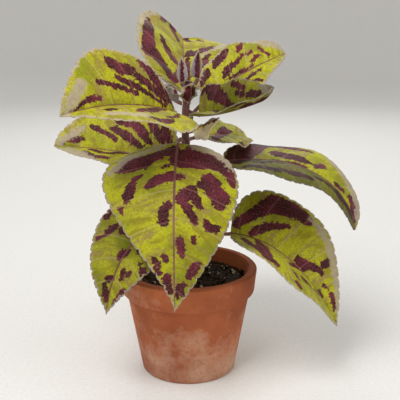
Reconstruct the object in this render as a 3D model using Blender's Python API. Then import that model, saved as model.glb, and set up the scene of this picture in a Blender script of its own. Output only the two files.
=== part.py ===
"""A potted coleus: a clay pot, the soil, one stem and its leaves, each a piece of its own.

The leaves are eleven full ones in crossed pairs, two small ones of a side shoot, a young pair
and the two upright ones of the bud.
Units are metres, +Z is up, +X is to the viewer's right and -Y is towards the viewer.
The origin is the centre of the pot's underside.
"""

import math
from dataclasses import dataclass

import bmesh
import bpy
import numpy as np

# Gap kept between pieces that touch, and the angle past which an edge is shaded sharp.
GAP = 0.0003
SHARP_ANGLE = 40

# Pot: a 9 cm clay pot, three quarters as tall as it is wide.
POT_HEIGHT = 0.070
RIM_RADIUS = 0.045
RIM_HEIGHT = 0.016
RIM_FOOT_RADIUS = 0.0435
BODY_TOP_RADIUS = 0.0405
BODY_FOOT_RADIUS = 0.0310
POT_WALL = 0.0038
POT_FLOOR = 0.0045
EDGE = 0.0010
POT_SIDES = 48
DRAIN_HOLES = 3
DRAIN_RADIUS = 0.0035
DRAIN_CIRCLE = 0.0150
DRAIN_FIRST = math.radians(90)
DRAIN_SIDES = 16

# Soil: filled to a finger's width below the rim, with a plain hole for the stem.
SOIL_TOP = 0.0610
SOIL_BEVEL = 0.0025
SOIL_MOUND = 0.0025
SOIL_LUMP = 0.0012
SOIL_WAVES = ((310, 270, 1.7), (310, -270, 0.9), (520, -410, 0.0), (350, 700, 2.0))
SOIL_SIDES = 40
SOIL_RINGS = (1.0, 0.86, 0.72, 0.57, 0.42, 0.27, 0.13, 0.0)
STEM_HOLE_DEPTH = 0.026

# Stem: square with rounded corners, thicker at each node.
STEM_TOP = 0.1900
STEM_FOOT_HALF = 0.0038
STEM_TOP_HALF = 0.0018
STEM_TIP_RISE = 0.0010
STEM_SQUARE = 4
STEM_NODES = (0.090, 0.114, 0.137, 0.152, 0.168, 0.174)
STEM_NODE_SWELL = 0.18
STEM_NODE_REACH = 0.0035
STEM_BEND = (0.0015, 0.0009)
STEM_BENDS_FROM = 0.068
STEM_RINGS = 30
STEM_SIDES = 12
SIDEWAYS = np.radians(np.linspace(-60, 60, 61))

# Leaves: the blade's thickness, on full and on small leaves, and the rib that stands out under it.
BLADE = 0.0008
SMALL_BLADE = 0.0006
SMALL_WIDTH = 0.030
FULL_WIDTH = 0.060
RIB_DEPTH = 0.0011
TIP_HALF = 0.0003
MIDRIB_STEPS = 400
MARGIN_STEPS = 600

# Petiole: no thicker than a tenth of the blade's width.
PETIOLE_RADIUS = 0.0012
PETIOLE_SHARE = 0.10
PETIOLE_RINGS = 5
PETIOLE_ANGLES = (165, 125, 90, 55, 15)

# Margin: rounded teeth that lean towards the tip.
TEETH = 18
TOOTH_DEPTH = 0.0014
TOOTH_LEAN = 0.5

# Blade: each half turns down by this angle from rib to margin, and its rows follow the side veins.
ARCH = math.radians(20)
ACROSS = (-1.0, -0.5, 0.0, 0.5, 1.0)
VEIN_SWEEP = 0.45
VEIN_BEND = 1.5
WAVES = 2


@dataclass
class Leaf:
    """One leaf. Angles are degrees; azimuth 0 is +X and 90 is +Y, away from the viewer.

    The plus half is the one on the left hand of someone who looks from the stem along the leaf.
    """

    name: str
    node: float  # height of its node on the stem
    leaves_at: float  # azimuth at which the petiole leaves the stem
    points_to: float  # azimuth of the blade at its base
    petiole: float  # length
    length: float  # of the blade
    width: float  # of the blade
    pitch: tuple  # above the horizon at the root, the blade's base, its middle and its tip
    swing: float = 0.0  # change of azimuth from the blade's base to its tip
    roll: tuple = (0.0, 0.0)  # about the midrib, at the base and the tip; plus half up
    fold: tuple = (15.0, 15.0)  # rise from the rib to the margin, of the plus and the minus half
    hook: float = 0.0  # further pitch gained over the last quarter
    uneven: float = 0.0  # share by which the plus half is wider and the minus half narrower
    # of the plus and the minus half, smaller is blunter
    base_form: tuple = (0.42, 0.42)
    tip_form: tuple = (0.95, 0.95)
    wave: float = 0.0015  # height of the margin's waves
    teeth: int = TEETH


# From the lowest pair up: name, node, leaves at, points to, petiole, length, width and pitch.
LEAVES = (
    Leaf("leaf_low_left", 0.090, 205, 229, 0.022, 0.070, 0.052, (38, 12, -50, -80),
         swing=-8, roll=(-25, -25), fold=(10, 10), tip_form=(1.1, 1.2)),
    Leaf("leaf_low_right", 0.090, -5, -5, 0.022, 0.097, 0.078, (12, -2, -45, -60),
         roll=(25, 25), fold=(25, 25), tip_form=(1.0, 0.6)),
    Leaf("leaf_low_back", 0.114, 92, 92, 0.028, 0.095, 0.066, (20, 5, -35, -65)),
    Leaf("leaf_mid_left", 0.137, 180, 168, 0.006, 0.080, 0.060, (25, 12, 5, 0),
         roll=(-25, -25), fold=(18, 30), uneven=-0.11, base_form=(0.34, 0.34),
         tip_form=(0.8, 0.55)),
    Leaf("leaf_mid_right", 0.137, 0, 0, 0.020, 0.104, 0.064, (10, 6, -20, -85),
         swing=-25, fold=(8, -5), uneven=0.08, tip_form=(0.75, 0.8)),
    Leaf("leaf_front", 0.152, 254, 264, 0.018, 0.106, 0.083, (45, -25, -70, -88),
         swing=12, fold=(-12, -12), uneven=-0.09, tip_form=(1.05, 1.5)),
    Leaf("leaf_back", 0.152, 74, 34, 0.012, 0.042, 0.050, (10, 0, -7, -26),
         roll=(10, 14), fold=(8, 8), uneven=-0.12, base_form=(0.9, 0.35), tip_form=(0.35, 0.8)),
    Leaf("leaf_upper_left", 0.168, 235, 221, 0.007, 0.083, 0.073, (30, 22, 4, -10),
         roll=(-25, -25), fold=(12, 45), uneven=0.06, base_form=(0.36, 1.0), tip_form=(0.9, 0.9)),
    Leaf("leaf_upper_right", 0.168, 28, 26, 0.016, 0.063, 0.042, (45, 35, 24, 17),
         roll=(15, 12), fold=(33, -7), uneven=0.06, base_form=(0.36, 0.35), tip_form=(0.38, 0.8)),
    Leaf("leaf_upper_back", 0.174, 100, 92, 0.011, 0.069, 0.075, (45, 38, 26, 19),
         roll=(14, 23), fold=(20, 20), uneven=0.02, base_form=(0.26, 0.70), tip_form=(0.18, 0.60)),
    Leaf("leaf_upper_front", 0.1715, -30, -38, 0.007, 0.060, 0.038, (-25, 5, 18, 22),
         roll=(20, 20), fold=(53, 23), hook=40, base_form=(0.18, 0.35), tip_form=(0.50, 0.9)),
    Leaf("side_leaf_up", 0.162, -80, -55, 0.003, 0.009, 0.007, (20, 50, 50, 50), teeth=6,
         fold=(20, 20), wave=0.0),
    Leaf("side_leaf_out", 0.159, -40, -28, 0.004, 0.020, 0.021, (15, 28, 28, 20), teeth=8,
         fold=(5, -55)),
    Leaf("young_leaf_left", 0.1765, 180, 185, 0.003, 0.0155, 0.015, (20, 27, 32, 35), teeth=8,
         fold=(45, 60), base_form=(0.50, 0.75), tip_form=(0.7, 0.7)),
    Leaf("young_leaf_right", 0.1765, -65, -62, 0.002, 0.0125, 0.0125, (30, 62, 72, 70), teeth=8,
         fold=(25, 25), base_form=(0.38, 0.38), tip_form=(0.6, 0.6)),
    Leaf("bud_leaf_left", 0.187, 222, 235, 0.004, 0.016, 0.009, (25, 78, 93, 100), teeth=6,
         fold=(20, 20), wave=0.0),
    Leaf("bud_leaf_right", 0.187, -10, -35, 0.0075, 0.017, 0.0125, (25, 75, 90, 92), teeth=6,
         fold=(20, 20), wave=0.0),
)

COLOURS = {
    "clay": ((0.62, 0.27, 0.14), 0.85),
    "soil": ((0.06, 0.035, 0.02), 0.95),
    "stem": ((0.20, 0.09, 0.10), 0.55),
    "leaf": ((0.47, 0.54, 0.05), 0.50),
}


def material(name, kind):
    """A plain material for one piece, in the colour and roughness of its kind."""
    colour, roughness = COLOURS[kind]
    made = bpy.data.materials.new(name)
    made.use_nodes = True
    shader = made.node_tree.nodes["Principled BSDF"]
    shader.inputs["Base Color"].default_value = (*colour, 1.0)
    shader.inputs["Roughness"].default_value = roughness
    shader.inputs["Metallic"].default_value = 0.0
    return made


def add_object(name, shape, kind):
    """A smooth-shaded object of a closed bmesh, its faces turned outwards."""
    bmesh.ops.recalc_face_normals(shape, faces=shape.faces)
    mesh = bpy.data.meshes.new(name)
    shape.to_mesh(mesh)
    shape.free()
    mesh.shade_smooth()
    mesh.set_sharp_from_angle(angle=math.radians(SHARP_ANGLE))
    mesh.materials.append(material(name, kind))
    made = bpy.data.objects.new(name, mesh)
    bpy.context.scene.collection.objects.link(made)
    return made


def solid(points, faces):
    """A bmesh of these points and faces."""
    shape = bmesh.new()
    corners = [shape.verts.new(tuple(map(float, p))) for p in points]
    for face in faces:
        shape.faces.new([corners[k] for k in face])
    return shape


def turned(profile, sides):
    """A bmesh turned about Z from an outline of (radius, height) that starts and ends on the axis."""
    shape = bmesh.new()
    ring = [shape.verts.new((radius, 0.0, height)) for radius, height in profile]
    edges = [shape.edges.new(pair) for pair in zip(ring, ring[1:])]
    bmesh.ops.spin(shape, geom=ring + edges, cent=(0, 0, 0), axis=(0, 0, 1),
                   angle=2 * math.pi, steps=sides, use_merge=True, use_normal_flip=False)
    bmesh.ops.remove_doubles(shape, verts=shape.verts, dist=1e-6)
    return shape


def body_radius(height):
    """The pot's outer radius below its rim, which grows evenly from the foot."""
    share = height / (POT_HEIGHT - RIM_HEIGHT)
    return BODY_FOOT_RADIUS + (BODY_TOP_RADIUS - BODY_FOOT_RADIUS) * share


def inner_radius(height):
    """The pot's inner radius, parallel to the body and carried on up through the rim."""
    return body_radius(height) - POT_WALL


def make_pot():
    """The turned pot, with its drain holes cut by upright rods."""
    rim_foot = POT_HEIGHT - RIM_HEIGHT
    pot = add_object("pot", turned([
        (0.0, 0.0),
        (BODY_FOOT_RADIUS - EDGE, 0.0),
        (BODY_FOOT_RADIUS, EDGE),
        (body_radius(rim_foot - EDGE), rim_foot - EDGE),
        (RIM_FOOT_RADIUS - EDGE, rim_foot),
        (RIM_FOOT_RADIUS, rim_foot + EDGE),
        (RIM_RADIUS, POT_HEIGHT - EDGE),
        (RIM_RADIUS - EDGE, POT_HEIGHT),
        (inner_radius(POT_HEIGHT) + EDGE, POT_HEIGHT),
        (inner_radius(POT_HEIGHT - EDGE), POT_HEIGHT - EDGE),
        (inner_radius(POT_FLOOR + 2 * EDGE), POT_FLOOR + 2 * EDGE),
        (inner_radius(POT_FLOOR) - 2 * EDGE, POT_FLOOR),
        (0.0, POT_FLOOR),
    ], POT_SIDES), "clay")
    rods = bpy.data.collections.new("drain_rods")
    bpy.context.scene.collection.children.link(rods)
    for k in range(DRAIN_HOLES):
        angle = DRAIN_FIRST + 2 * math.pi * k / DRAIN_HOLES
        shape = bmesh.new()
        bmesh.ops.create_cone(shape, cap_ends=True, segments=DRAIN_SIDES, radius1=DRAIN_RADIUS,
                              radius2=DRAIN_RADIUS, depth=4 * POT_FLOOR)
        mesh = bpy.data.meshes.new(f"drain_rod_{k}")
        shape.to_mesh(mesh)
        shape.free()
        rod = bpy.data.objects.new(f"drain_rod_{k}", mesh)
        rod.location = (DRAIN_CIRCLE * math.cos(angle), DRAIN_CIRCLE * math.sin(angle), 0.0)
        rod.hide_render = True
        rod.display_type = "WIRE"
        rods.objects.link(rod)
    rods.hide_render = True
    cut = pot.modifiers.new("drain_holes", "BOOLEAN")
    cut.operation = "DIFFERENCE"
    cut.operand_type = "COLLECTION"
    cut.collection = rods


def soil_height(x, y):
    """The soil's surface: a low mound round the stem, with lumps from a few crossing waves."""
    reach = np.hypot(x, y) / inner_radius(SOIL_TOP)
    lumps = sum(np.sin(a * x + b * y + c) for a, b, c in SOIL_WAVES) / len(SOIL_WAVES)
    return SOIL_TOP + SOIL_MOUND * (1 - reach ** 2) + SOIL_LUMP * lumps * (1 - reach ** 6)


def make_soil():
    """The soil as rings of points: the underside, the wall, the lumpy top and the stem's hole."""
    angles = 2 * np.pi * np.arange(SOIL_SIDES) / SOIL_SIDES
    foot = POT_FLOOR + GAP
    bevel = foot + SOIL_BEVEL
    wall = inner_radius(SOIL_TOP) - GAP
    hole = np.array([stem_radius(SOIL_TOP, angle) + GAP for angle in angles])
    rings = [(np.full(SOIL_SIDES, inner_radius(foot) - SOIL_BEVEL - GAP), foot),
             (np.full(SOIL_SIDES, inner_radius(bevel) - GAP), bevel)]
    for share in SOIL_RINGS:
        radius = hole + (wall - hole) * share
        rings.append((radius, soil_height(radius * np.cos(angles), radius * np.sin(angles))))
    rings.append((hole, SOIL_TOP - STEM_HOLE_DEPTH))
    points = []
    for radius, height in rings:
        height = np.broadcast_to(height, SOIL_SIDES)
        points += list(zip(radius * np.cos(angles), radius * np.sin(angles), height))
    faces = []
    for ring in range(len(rings) - 1):
        for k in range(SOIL_SIDES):
            here, there = ring * SOIL_SIDES, (ring + 1) * SOIL_SIDES
            after = (k + 1) % SOIL_SIDES
            faces += [(here + k, here + after, there + after), (here + k, there + after, there + k)]
    last = (len(rings) - 1) * SOIL_SIDES
    faces.append(tuple(range(SOIL_SIDES)))
    faces.append(tuple(range(last, last + SOIL_SIDES)))
    add_object("soil", solid(points, faces), "soil")


def stem_centre(height):
    """The stem's centre at a height: a slight double bend above the soil."""
    share = min(max((height - STEM_BENDS_FROM) / (STEM_TOP - STEM_BENDS_FROM), 0), 1)
    across, deep = STEM_BEND
    return across * math.sin(2 * math.pi * share), deep * math.sin(3 * math.pi * share)


def stem_radius(height, angle):
    """The stem's radius at a height and an angle: a rounded square that swells at each node."""
    share = min(max((height - SOIL_TOP) / (STEM_TOP - SOIL_TOP), 0), 1)
    half = STEM_FOOT_HALF + (STEM_TOP_HALF - STEM_FOOT_HALF) * share
    swell = sum(math.exp(-((height - node) / STEM_NODE_REACH) ** 2) for node in STEM_NODES)
    corner = abs(math.cos(angle)) ** STEM_SQUARE + abs(math.sin(angle)) ** STEM_SQUARE
    return half * (1 + STEM_NODE_SWELL * swell) * corner ** (-1 / STEM_SQUARE)


def stem_reach(height, angle, half_breadth):
    """How far out a flat end of that half breadth is pushed by the stem, in that direction."""
    radii = np.array([stem_radius(height, angle + turn) for turn in SIDEWAYS])
    met = np.abs(radii * np.sin(SIDEWAYS)) <= half_breadth
    return float((radii * np.cos(SIDEWAYS))[met].max())


def make_stem():
    """The stem as stacked rings, each a square with rounded corners, closed at a low point."""
    foot = SOIL_TOP - STEM_HOLE_DEPTH + GAP
    heights = [foot, *np.linspace(SOIL_TOP, STEM_TOP, STEM_RINGS)]
    angles = [2 * math.pi * (k + 0.5) / STEM_SIDES for k in range(STEM_SIDES)]
    points = []
    for height in heights:
        x, y = stem_centre(height)
        for angle in angles:
            radius = stem_radius(height, angle)
            points.append((x + radius * math.cos(angle), y + radius * math.sin(angle), height))
    points.append((*stem_centre(STEM_TOP), STEM_TOP + STEM_TIP_RISE))
    faces = []
    for ring in range(len(heights) - 1):
        for k in range(STEM_SIDES):
            here, there = ring * STEM_SIDES, (ring + 1) * STEM_SIDES
            after = (k + 1) % STEM_SIDES
            faces.append((here + k, here + after, there + after, there + k))
    last = (len(heights) - 1) * STEM_SIDES
    faces += [(last + k, last + (k + 1) % STEM_SIDES, len(points) - 1) for k in range(STEM_SIDES)]
    faces.append(tuple(range(STEM_SIDES)))
    add_object("stem", solid(points, faces), "stem")


def smooth_step(value):
    """0 below 0, 1 above 1 and a smooth rise between."""
    value = np.clip(value, 0, 1)
    return value * value * (3 - 2 * value)


class Midrib:
    """The line of a leaf from the stem to its tip, with the frame carried along it.

    The direction is integrated from the azimuth and the pitch, so the line keeps its real length.
    """

    def __init__(self, leaf):
        self.along = np.linspace(-leaf.petiole, leaf.length, MIDRIB_STEPS)
        stalk = np.clip((self.along + leaf.petiole) / leaf.petiole, 0, 1)
        blade = np.clip(self.along / leaf.length, 0, 1)
        root, base, middle, tip = leaf.pitch
        bow = 2 * (base + tip - 2 * middle)
        pitch = root + (base - root) * stalk + (tip - base - bow) * blade + bow * blade ** 2
        pitch = np.radians(pitch + leaf.hook * smooth_step((blade - 0.75) / 0.25))
        turn = (leaf.points_to - leaf.leaves_at) * smooth_step(stalk)
        azimuth = np.radians(leaf.leaves_at + turn + leaf.swing * blade)
        roll = np.radians(smooth_step(stalk) * leaf.roll[0] + (leaf.roll[1] - leaf.roll[0]) * blade)
        flat = np.zeros(MIDRIB_STEPS)
        ahead = np.stack([np.cos(pitch) * np.cos(azimuth), np.cos(pitch) * np.sin(azimuth),
                          np.sin(pitch)], 1)
        side = np.stack([-np.sin(azimuth), np.cos(azimuth), flat], 1)
        up = np.cross(ahead, side)
        cos, sin = np.cos(roll)[:, None], np.sin(roll)[:, None]
        self.side, self.up = side * cos + up * sin, up * cos - side * sin
        x, y = stem_centre(leaf.node)
        angle = math.radians(leaf.leaves_at)
        out = stem_reach(leaf.node, angle, petiole_radius(leaf)) + GAP
        root_point = np.array([x + out * math.cos(angle), y + out * math.sin(angle), leaf.node])
        step = (leaf.petiole + leaf.length) / (MIDRIB_STEPS - 1)
        walked = np.cumsum((ahead[1:] + ahead[:-1]) / 2 * step, axis=0)
        self.points = root_point + np.vstack([np.zeros(3), walked])

    def at(self, along):
        """The point, the side direction and the up direction at distances from the blade's base."""
        return tuple(np.stack([np.interp(along, self.along, part[:, k]) for k in range(3)], -1)
                     for part in (self.points, self.side, self.up))


def half_width(leaf, share, sign):
    """The width of one half along it: a rounded base, a widest place and a drawn-out tip."""
    half = 0 if sign > 0 else 1
    a, b = leaf.base_form[half], leaf.tip_form[half]
    widest = a / (a + b)
    form = (share / widest) ** a * ((1 - share) / (1 - widest)) ** b
    return leaf.width / 2 * (1 + sign * leaf.uneven) * form


def margin(leaf, stations, sign):
    """Points of one half's margin laid flat, evenly spaced along it, as (along, across)."""
    share = (1 - np.cos(np.linspace(0, np.pi, MARGIN_STEPS))) / 2
    along, across = leaf.length * share, half_width(leaf, share, sign)
    walked = np.concatenate([[0], np.cumsum(np.hypot(np.diff(along), np.diff(across)))])
    at = stations * walked[-1]
    return np.interp(at, walked, along), np.interp(at, walked, across)


def toothed(leaf, stations, sign):
    """The margin with its teeth: even stations are notches and odd ones points, but for the tip."""
    along, across = margin(leaf, stations, sign)
    size = TOOTH_DEPTH * min(1.0, leaf.width / FULL_WIDTH) / 2
    out = np.where(np.arange(len(stations)) % 2 == 1, size, -size)
    out[[0, -2, -1]] = 0.0
    slope_along, slope_across = np.gradient(along), np.gradient(across)
    steep = np.hypot(slope_along, slope_across)
    slope_along, slope_across = slope_along / steep, slope_across / steep
    along = along + out * (TOOTH_LEAN * slope_along - slope_across)
    across = across + out * (TOOTH_LEAN * slope_across + slope_along)
    across[0] = petiole_radius(leaf)
    return np.clip(along, 0, leaf.length), np.maximum(across, TIP_HALF)


def blade_points(leaf, midrib, along, across, sign):
    """Points of the bent blade and its normals there, for places in its plane on one half."""
    fold = math.radians(leaf.fold[0] if sign > 0 else leaf.fold[1])
    reach = across / (leaf.width / 2)
    chord = fold - ARCH * (reach - 1) / 2
    tilt = fold - ARCH * (reach - 0.5)
    centre, side, up = midrib.at(along)
    lift = leaf.wave * reach ** 1.5 * np.sin(2 * WAVES * np.pi * along / leaf.length + sign)
    out = (across * np.cos(chord) * sign)[:, None] * side
    rise = (across * np.sin(chord) + lift)[:, None] * up
    normal = np.cos(tilt)[:, None] * up - (np.sin(tilt) * sign)[:, None] * side
    return centre + out + rise, normal


def petiole_radius(leaf):
    """Half of the petiole's thickness."""
    return min(PETIOLE_RADIUS, PETIOLE_SHARE * leaf.width)


def petiole_rows(leaf, midrib):
    """Rings round the petiole; the first one is cut off upright, flush with the stem."""
    radius = petiole_radius(leaf)
    angles = np.radians(PETIOLE_ANGLES)
    azimuth = math.radians(leaf.leaves_at)
    outward = np.array([math.cos(azimuth), math.sin(azimuth), 0.0])
    rows = []
    for share in np.linspace(0, 1, PETIOLE_RINGS)[:-1]:
        along = leaf.petiole * (share - 1)
        centre, side, up = midrib.at(along)
        ring = [side * math.cos(a) * radius for a in angles]
        rise = [up * math.sin(a) * radius for a in angles]
        top = [c + r for c, r in zip(ring, rise)]
        low = [c - r for c, r in zip(ring, rise)]
        if share == 0:
            ahead = np.cross(side, up)
            top, low = ([p - ahead * (p @ outward) / (ahead @ outward) for p in half]
                        for half in (top, low))
        rows.append(([centre + p for p in top], [centre + p for p in low]))
    return rows


def blade_rows(leaf, midrib):
    """Rows across the blade that follow its lateral veins, each as (upper points, lower points)."""
    half_blade = (BLADE if leaf.width > SMALL_WIDTH else SMALL_BLADE) / 2
    stations = np.linspace(0, 1, 2 * leaf.teeth + 1)
    edges = {sign: toothed(leaf, stations, sign) for sign in (1.0, -1.0)}
    smooth_along = (margin(leaf, stations, 1.0)[0] + margin(leaf, stations, -1.0)[0]) / 2
    rib_along = smooth_along * (1 - VEIN_SWEEP * (1 - smooth_along / leaf.length))
    rib = RIB_DEPTH * min(1.0, leaf.width / FULL_WIDTH) * (1 - stations)
    upper, lower = [], []
    for place in ACROSS:
        sign = math.copysign(1.0, place)
        edge_along, edge_across = edges[sign]
        along = rib_along + (edge_along - rib_along) * abs(place) ** VEIN_BEND
        across = edge_across * abs(place)
        middle, normal = blade_points(leaf, midrib, along, across, sign)
        deep = np.full(len(stations), half_blade)
        if place == 0:
            normal = midrib.at(along)[2]
            deep = deep + rib
        upper.append(middle + normal * half_blade)
        lower.append(middle - normal * deep[:, None])
    return list(zip(zip(*upper), zip(*lower)))


def make_leaf(leaf):
    """A leaf as one closed skin over its petiole and its blade."""
    midrib = Midrib(leaf)
    rows = petiole_rows(leaf, midrib) + blade_rows(leaf, midrib)
    add_object(leaf.name, solid(*skinned(rows)), "leaf")


def skinned(rows):
    """Points and triangles of a closed skin over rows of (upper points, lower points).

    Both faces are split along the same diagonals, so the thin blade never crosses itself.
    """
    width = len(rows[0][0])
    points = [p for top, low in rows for p in (*top, *low)]
    faces = []

    def top_at(row, column):
        return row * 2 * width + column

    def low_at(row, column):
        return row * 2 * width + width + column

    for row in range(len(rows) - 1):
        for column in range(width - 1):
            a, b = (row, column), (row + 1, column)
            c, d = (row + 1, column + 1), (row, column + 1)
            outer_split = [(a, b, c), (a, c, d)]
            inner_split = [(b, c, d), (b, d, a)]
            for triangle in outer_split if column < (width - 1) / 2 else inner_split:
                faces.append(tuple(top_at(*corner) for corner in triangle))
                faces.append(tuple(low_at(*corner) for corner in reversed(triangle)))
        for column in (0, width - 1):
            here, there = top_at(row, column), top_at(row + 1, column)
            under_here, under_there = low_at(row, column), low_at(row + 1, column)
            faces.append((here, under_here, under_there))
            faces.append((here, under_there, there))
    for row in (0, len(rows) - 1):
        around = [top_at(row, k) for k in range(width)]
        around += [low_at(row, k) for k in reversed(range(width))]
        faces.append(tuple(around))
    return points, faces


def main():
    for old in list(bpy.data.objects):
        bpy.data.objects.remove(old)
    make_pot()
    make_soil()
    make_stem()
    for leaf in LEAVES:
        make_leaf(leaf)


main()
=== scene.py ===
"""Looks of the potted coleus: fine leaves in their colours, stem, clay pot, soil and hairs.

Units are metres in the frame of the solids: +Z is up, +X is to the viewer's right and -Y is
towards the viewer. The leaves repeat the named values of the solids that they replace.
"""

import math
from dataclasses import dataclass
from functools import partial

import bmesh
import bpy
import numpy as np
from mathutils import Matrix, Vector


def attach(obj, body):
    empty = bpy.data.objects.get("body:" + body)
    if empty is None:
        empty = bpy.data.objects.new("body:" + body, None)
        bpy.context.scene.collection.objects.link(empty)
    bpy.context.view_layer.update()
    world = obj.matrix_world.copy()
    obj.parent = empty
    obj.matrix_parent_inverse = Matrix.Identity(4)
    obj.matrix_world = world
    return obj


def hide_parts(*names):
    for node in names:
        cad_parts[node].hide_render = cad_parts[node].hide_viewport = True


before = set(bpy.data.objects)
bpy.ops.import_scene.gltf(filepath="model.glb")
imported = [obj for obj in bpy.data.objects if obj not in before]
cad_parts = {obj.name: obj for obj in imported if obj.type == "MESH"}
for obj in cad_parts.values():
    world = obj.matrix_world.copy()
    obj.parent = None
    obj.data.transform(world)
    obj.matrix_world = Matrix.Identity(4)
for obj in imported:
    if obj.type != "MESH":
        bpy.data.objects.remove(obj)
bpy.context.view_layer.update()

MM = 0.001
GAP = 0.0003
RANDOM = np.random.default_rng(7)

# Pot, soil and stem, as in the solids.
POT_HEIGHT = 0.070
RIM_HEIGHT = 0.016
BODY_TOP_RADIUS = 0.0405
BODY_FOOT_RADIUS = 0.0310
POT_WALL = 0.0038
POT_FLOOR = 0.0045
SOIL_TOP = 0.0610
SOIL_BEVEL = 0.0025
SOIL_MOUND = 0.0025
SOIL_LUMP = 0.0012
SOIL_WAVES = ((310, 270, 1.7), (310, -270, 0.9), (520, -410, 0.0), (350, 700, 2.0))
STEM_HOLE_DEPTH = 0.026
STEM_TOP = 0.1900
STEM_FOOT_HALF = 0.0038
STEM_TOP_HALF = 0.0018
STEM_TIP_RISE = 0.0010
STEM_SQUARE = 4
STEM_NODES = (0.090, 0.114, 0.137, 0.152, 0.168, 0.174)
STEM_NODE_SWELL = 0.18
STEM_NODE_REACH = 0.0035
STEM_BEND = (0.0015, 0.0009)
STEM_BENDS_FROM = 0.068
SIDEWAYS = np.radians(np.linspace(-60, 60, 61))

# Leaves, as in the solids.
BLADE = 0.0008
SMALL_BLADE = 0.0006
SMALL_WIDTH = 0.030
FULL_WIDTH = 0.060
RIB_DEPTH = 0.0011
TIP_HALF = 0.0003
MIDRIB_STEPS = 400
MARGIN_STEPS = 600
PETIOLE_RADIUS = 0.0012
PETIOLE_SHARE = 0.10
TEETH = 18
TOOTH_DEPTH = 0.0014
TOOTH_LEAN = 0.5
ARCH = math.radians(20)
VEIN_SWEEP = 0.45
VEIN_BEND = 1.5
WAVES = 2
HOOK_FROM = 0.75
TOOTHLESS_BASE = 0.5
TOOTHLESS_TIP = 1.5

# How fine the leaves are here, and the relief of the veins.
ROWS_PER_TOOTH = 10
HALF_COLUMNS = 36
SMALL_HALF_COLUMNS = 14
PETIOLE_ROWS = 14
RIB_CROWDING = 1.5
RIB_TAPER = 0.6
RIB_BLEND = 0.002
TOOTH_ROUND = 0.6
SMALL_TEETH = 0.3
EDGE_THIN = 0.6
VEIN_PAIRS = 7
VEIN_OFFSET = 3  # rows between the side veins of the two halves
VEIN_SLANT = 0.8
# Shares of the blade's length at its base, and then of its half width at its edges.
NECK_SHARE = 0.04  # the petiole's round section turns flat
BASE_SHARE = 0.02  # the blade gains its thickness
RIB_ABOVE_SHARE = 0.12  # the midrib still stands out above
FLAT_SHARE = 0.15  # the relief fades in and out
EDGE_SHARE = 0.1  # the margin thins
TOOTH_SHARE = 0.2  # the teeth bend the rows
VALLEY = 0.00030
VALLEY_HALF = 0.0008
QUILT = 0.00045
PUCKER = 0.00012
PUCKERS = ((900, 300, 0.2), (500, 1100, 1.1), (1300, -600, 2.3), (-700, 900, 4.0), (200, 1500, 5.1))
UNDER_VEIN = 0.00025


@dataclass
class Leaf:
    """One leaf. Angles are degrees; azimuth 0 is +X and 90 is +Y, away from the viewer.

    The plus half is the one on the left hand of someone who looks from the stem along the leaf.
    """

    name: str
    node: float  # height of its node on the stem
    leaves_at: float  # azimuth at which the petiole leaves the stem
    points_to: float  # azimuth of the blade at its base
    petiole: float  # length
    length: float  # of the blade
    width: float  # of the blade
    pitch: tuple  # above the horizon at the root, the blade's base, its middle and its tip
    swing: float = 0.0  # change of azimuth from the blade's base to its tip
    roll: tuple = (0.0, 0.0)  # about the midrib, at the base and the tip; plus half up
    fold: tuple = (15.0, 15.0)  # rise from the rib to the margin, of the plus and the minus half
    hook: float = 0.0  # further pitch gained over the last quarter
    uneven: float = 0.0  # share by which the plus half is wider and the minus half narrower
    # of the plus and the minus half, smaller is blunter
    base_form: tuple = (0.42, 0.42)
    tip_form: tuple = (0.95, 0.95)
    wave: float = 0.0015  # height of the margin's waves
    teeth: int = TEETH
    rim: float = 1.2  # breadth of the pale rim in millimetres
    # Painted light and shade: each half's colour is multiplied by this pair, below 1 painted darker as
    # if in shade and above 1 painted brighter as if better lit.
    painted_light_and_shade: tuple = (1.0, 1.0)  # how bright the plus and the minus half are
    bright_below: bool = False  # a full leaf with a lower face as bright as its upper one
    young: float = 0.0  # how mauve a young leaf is
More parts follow.
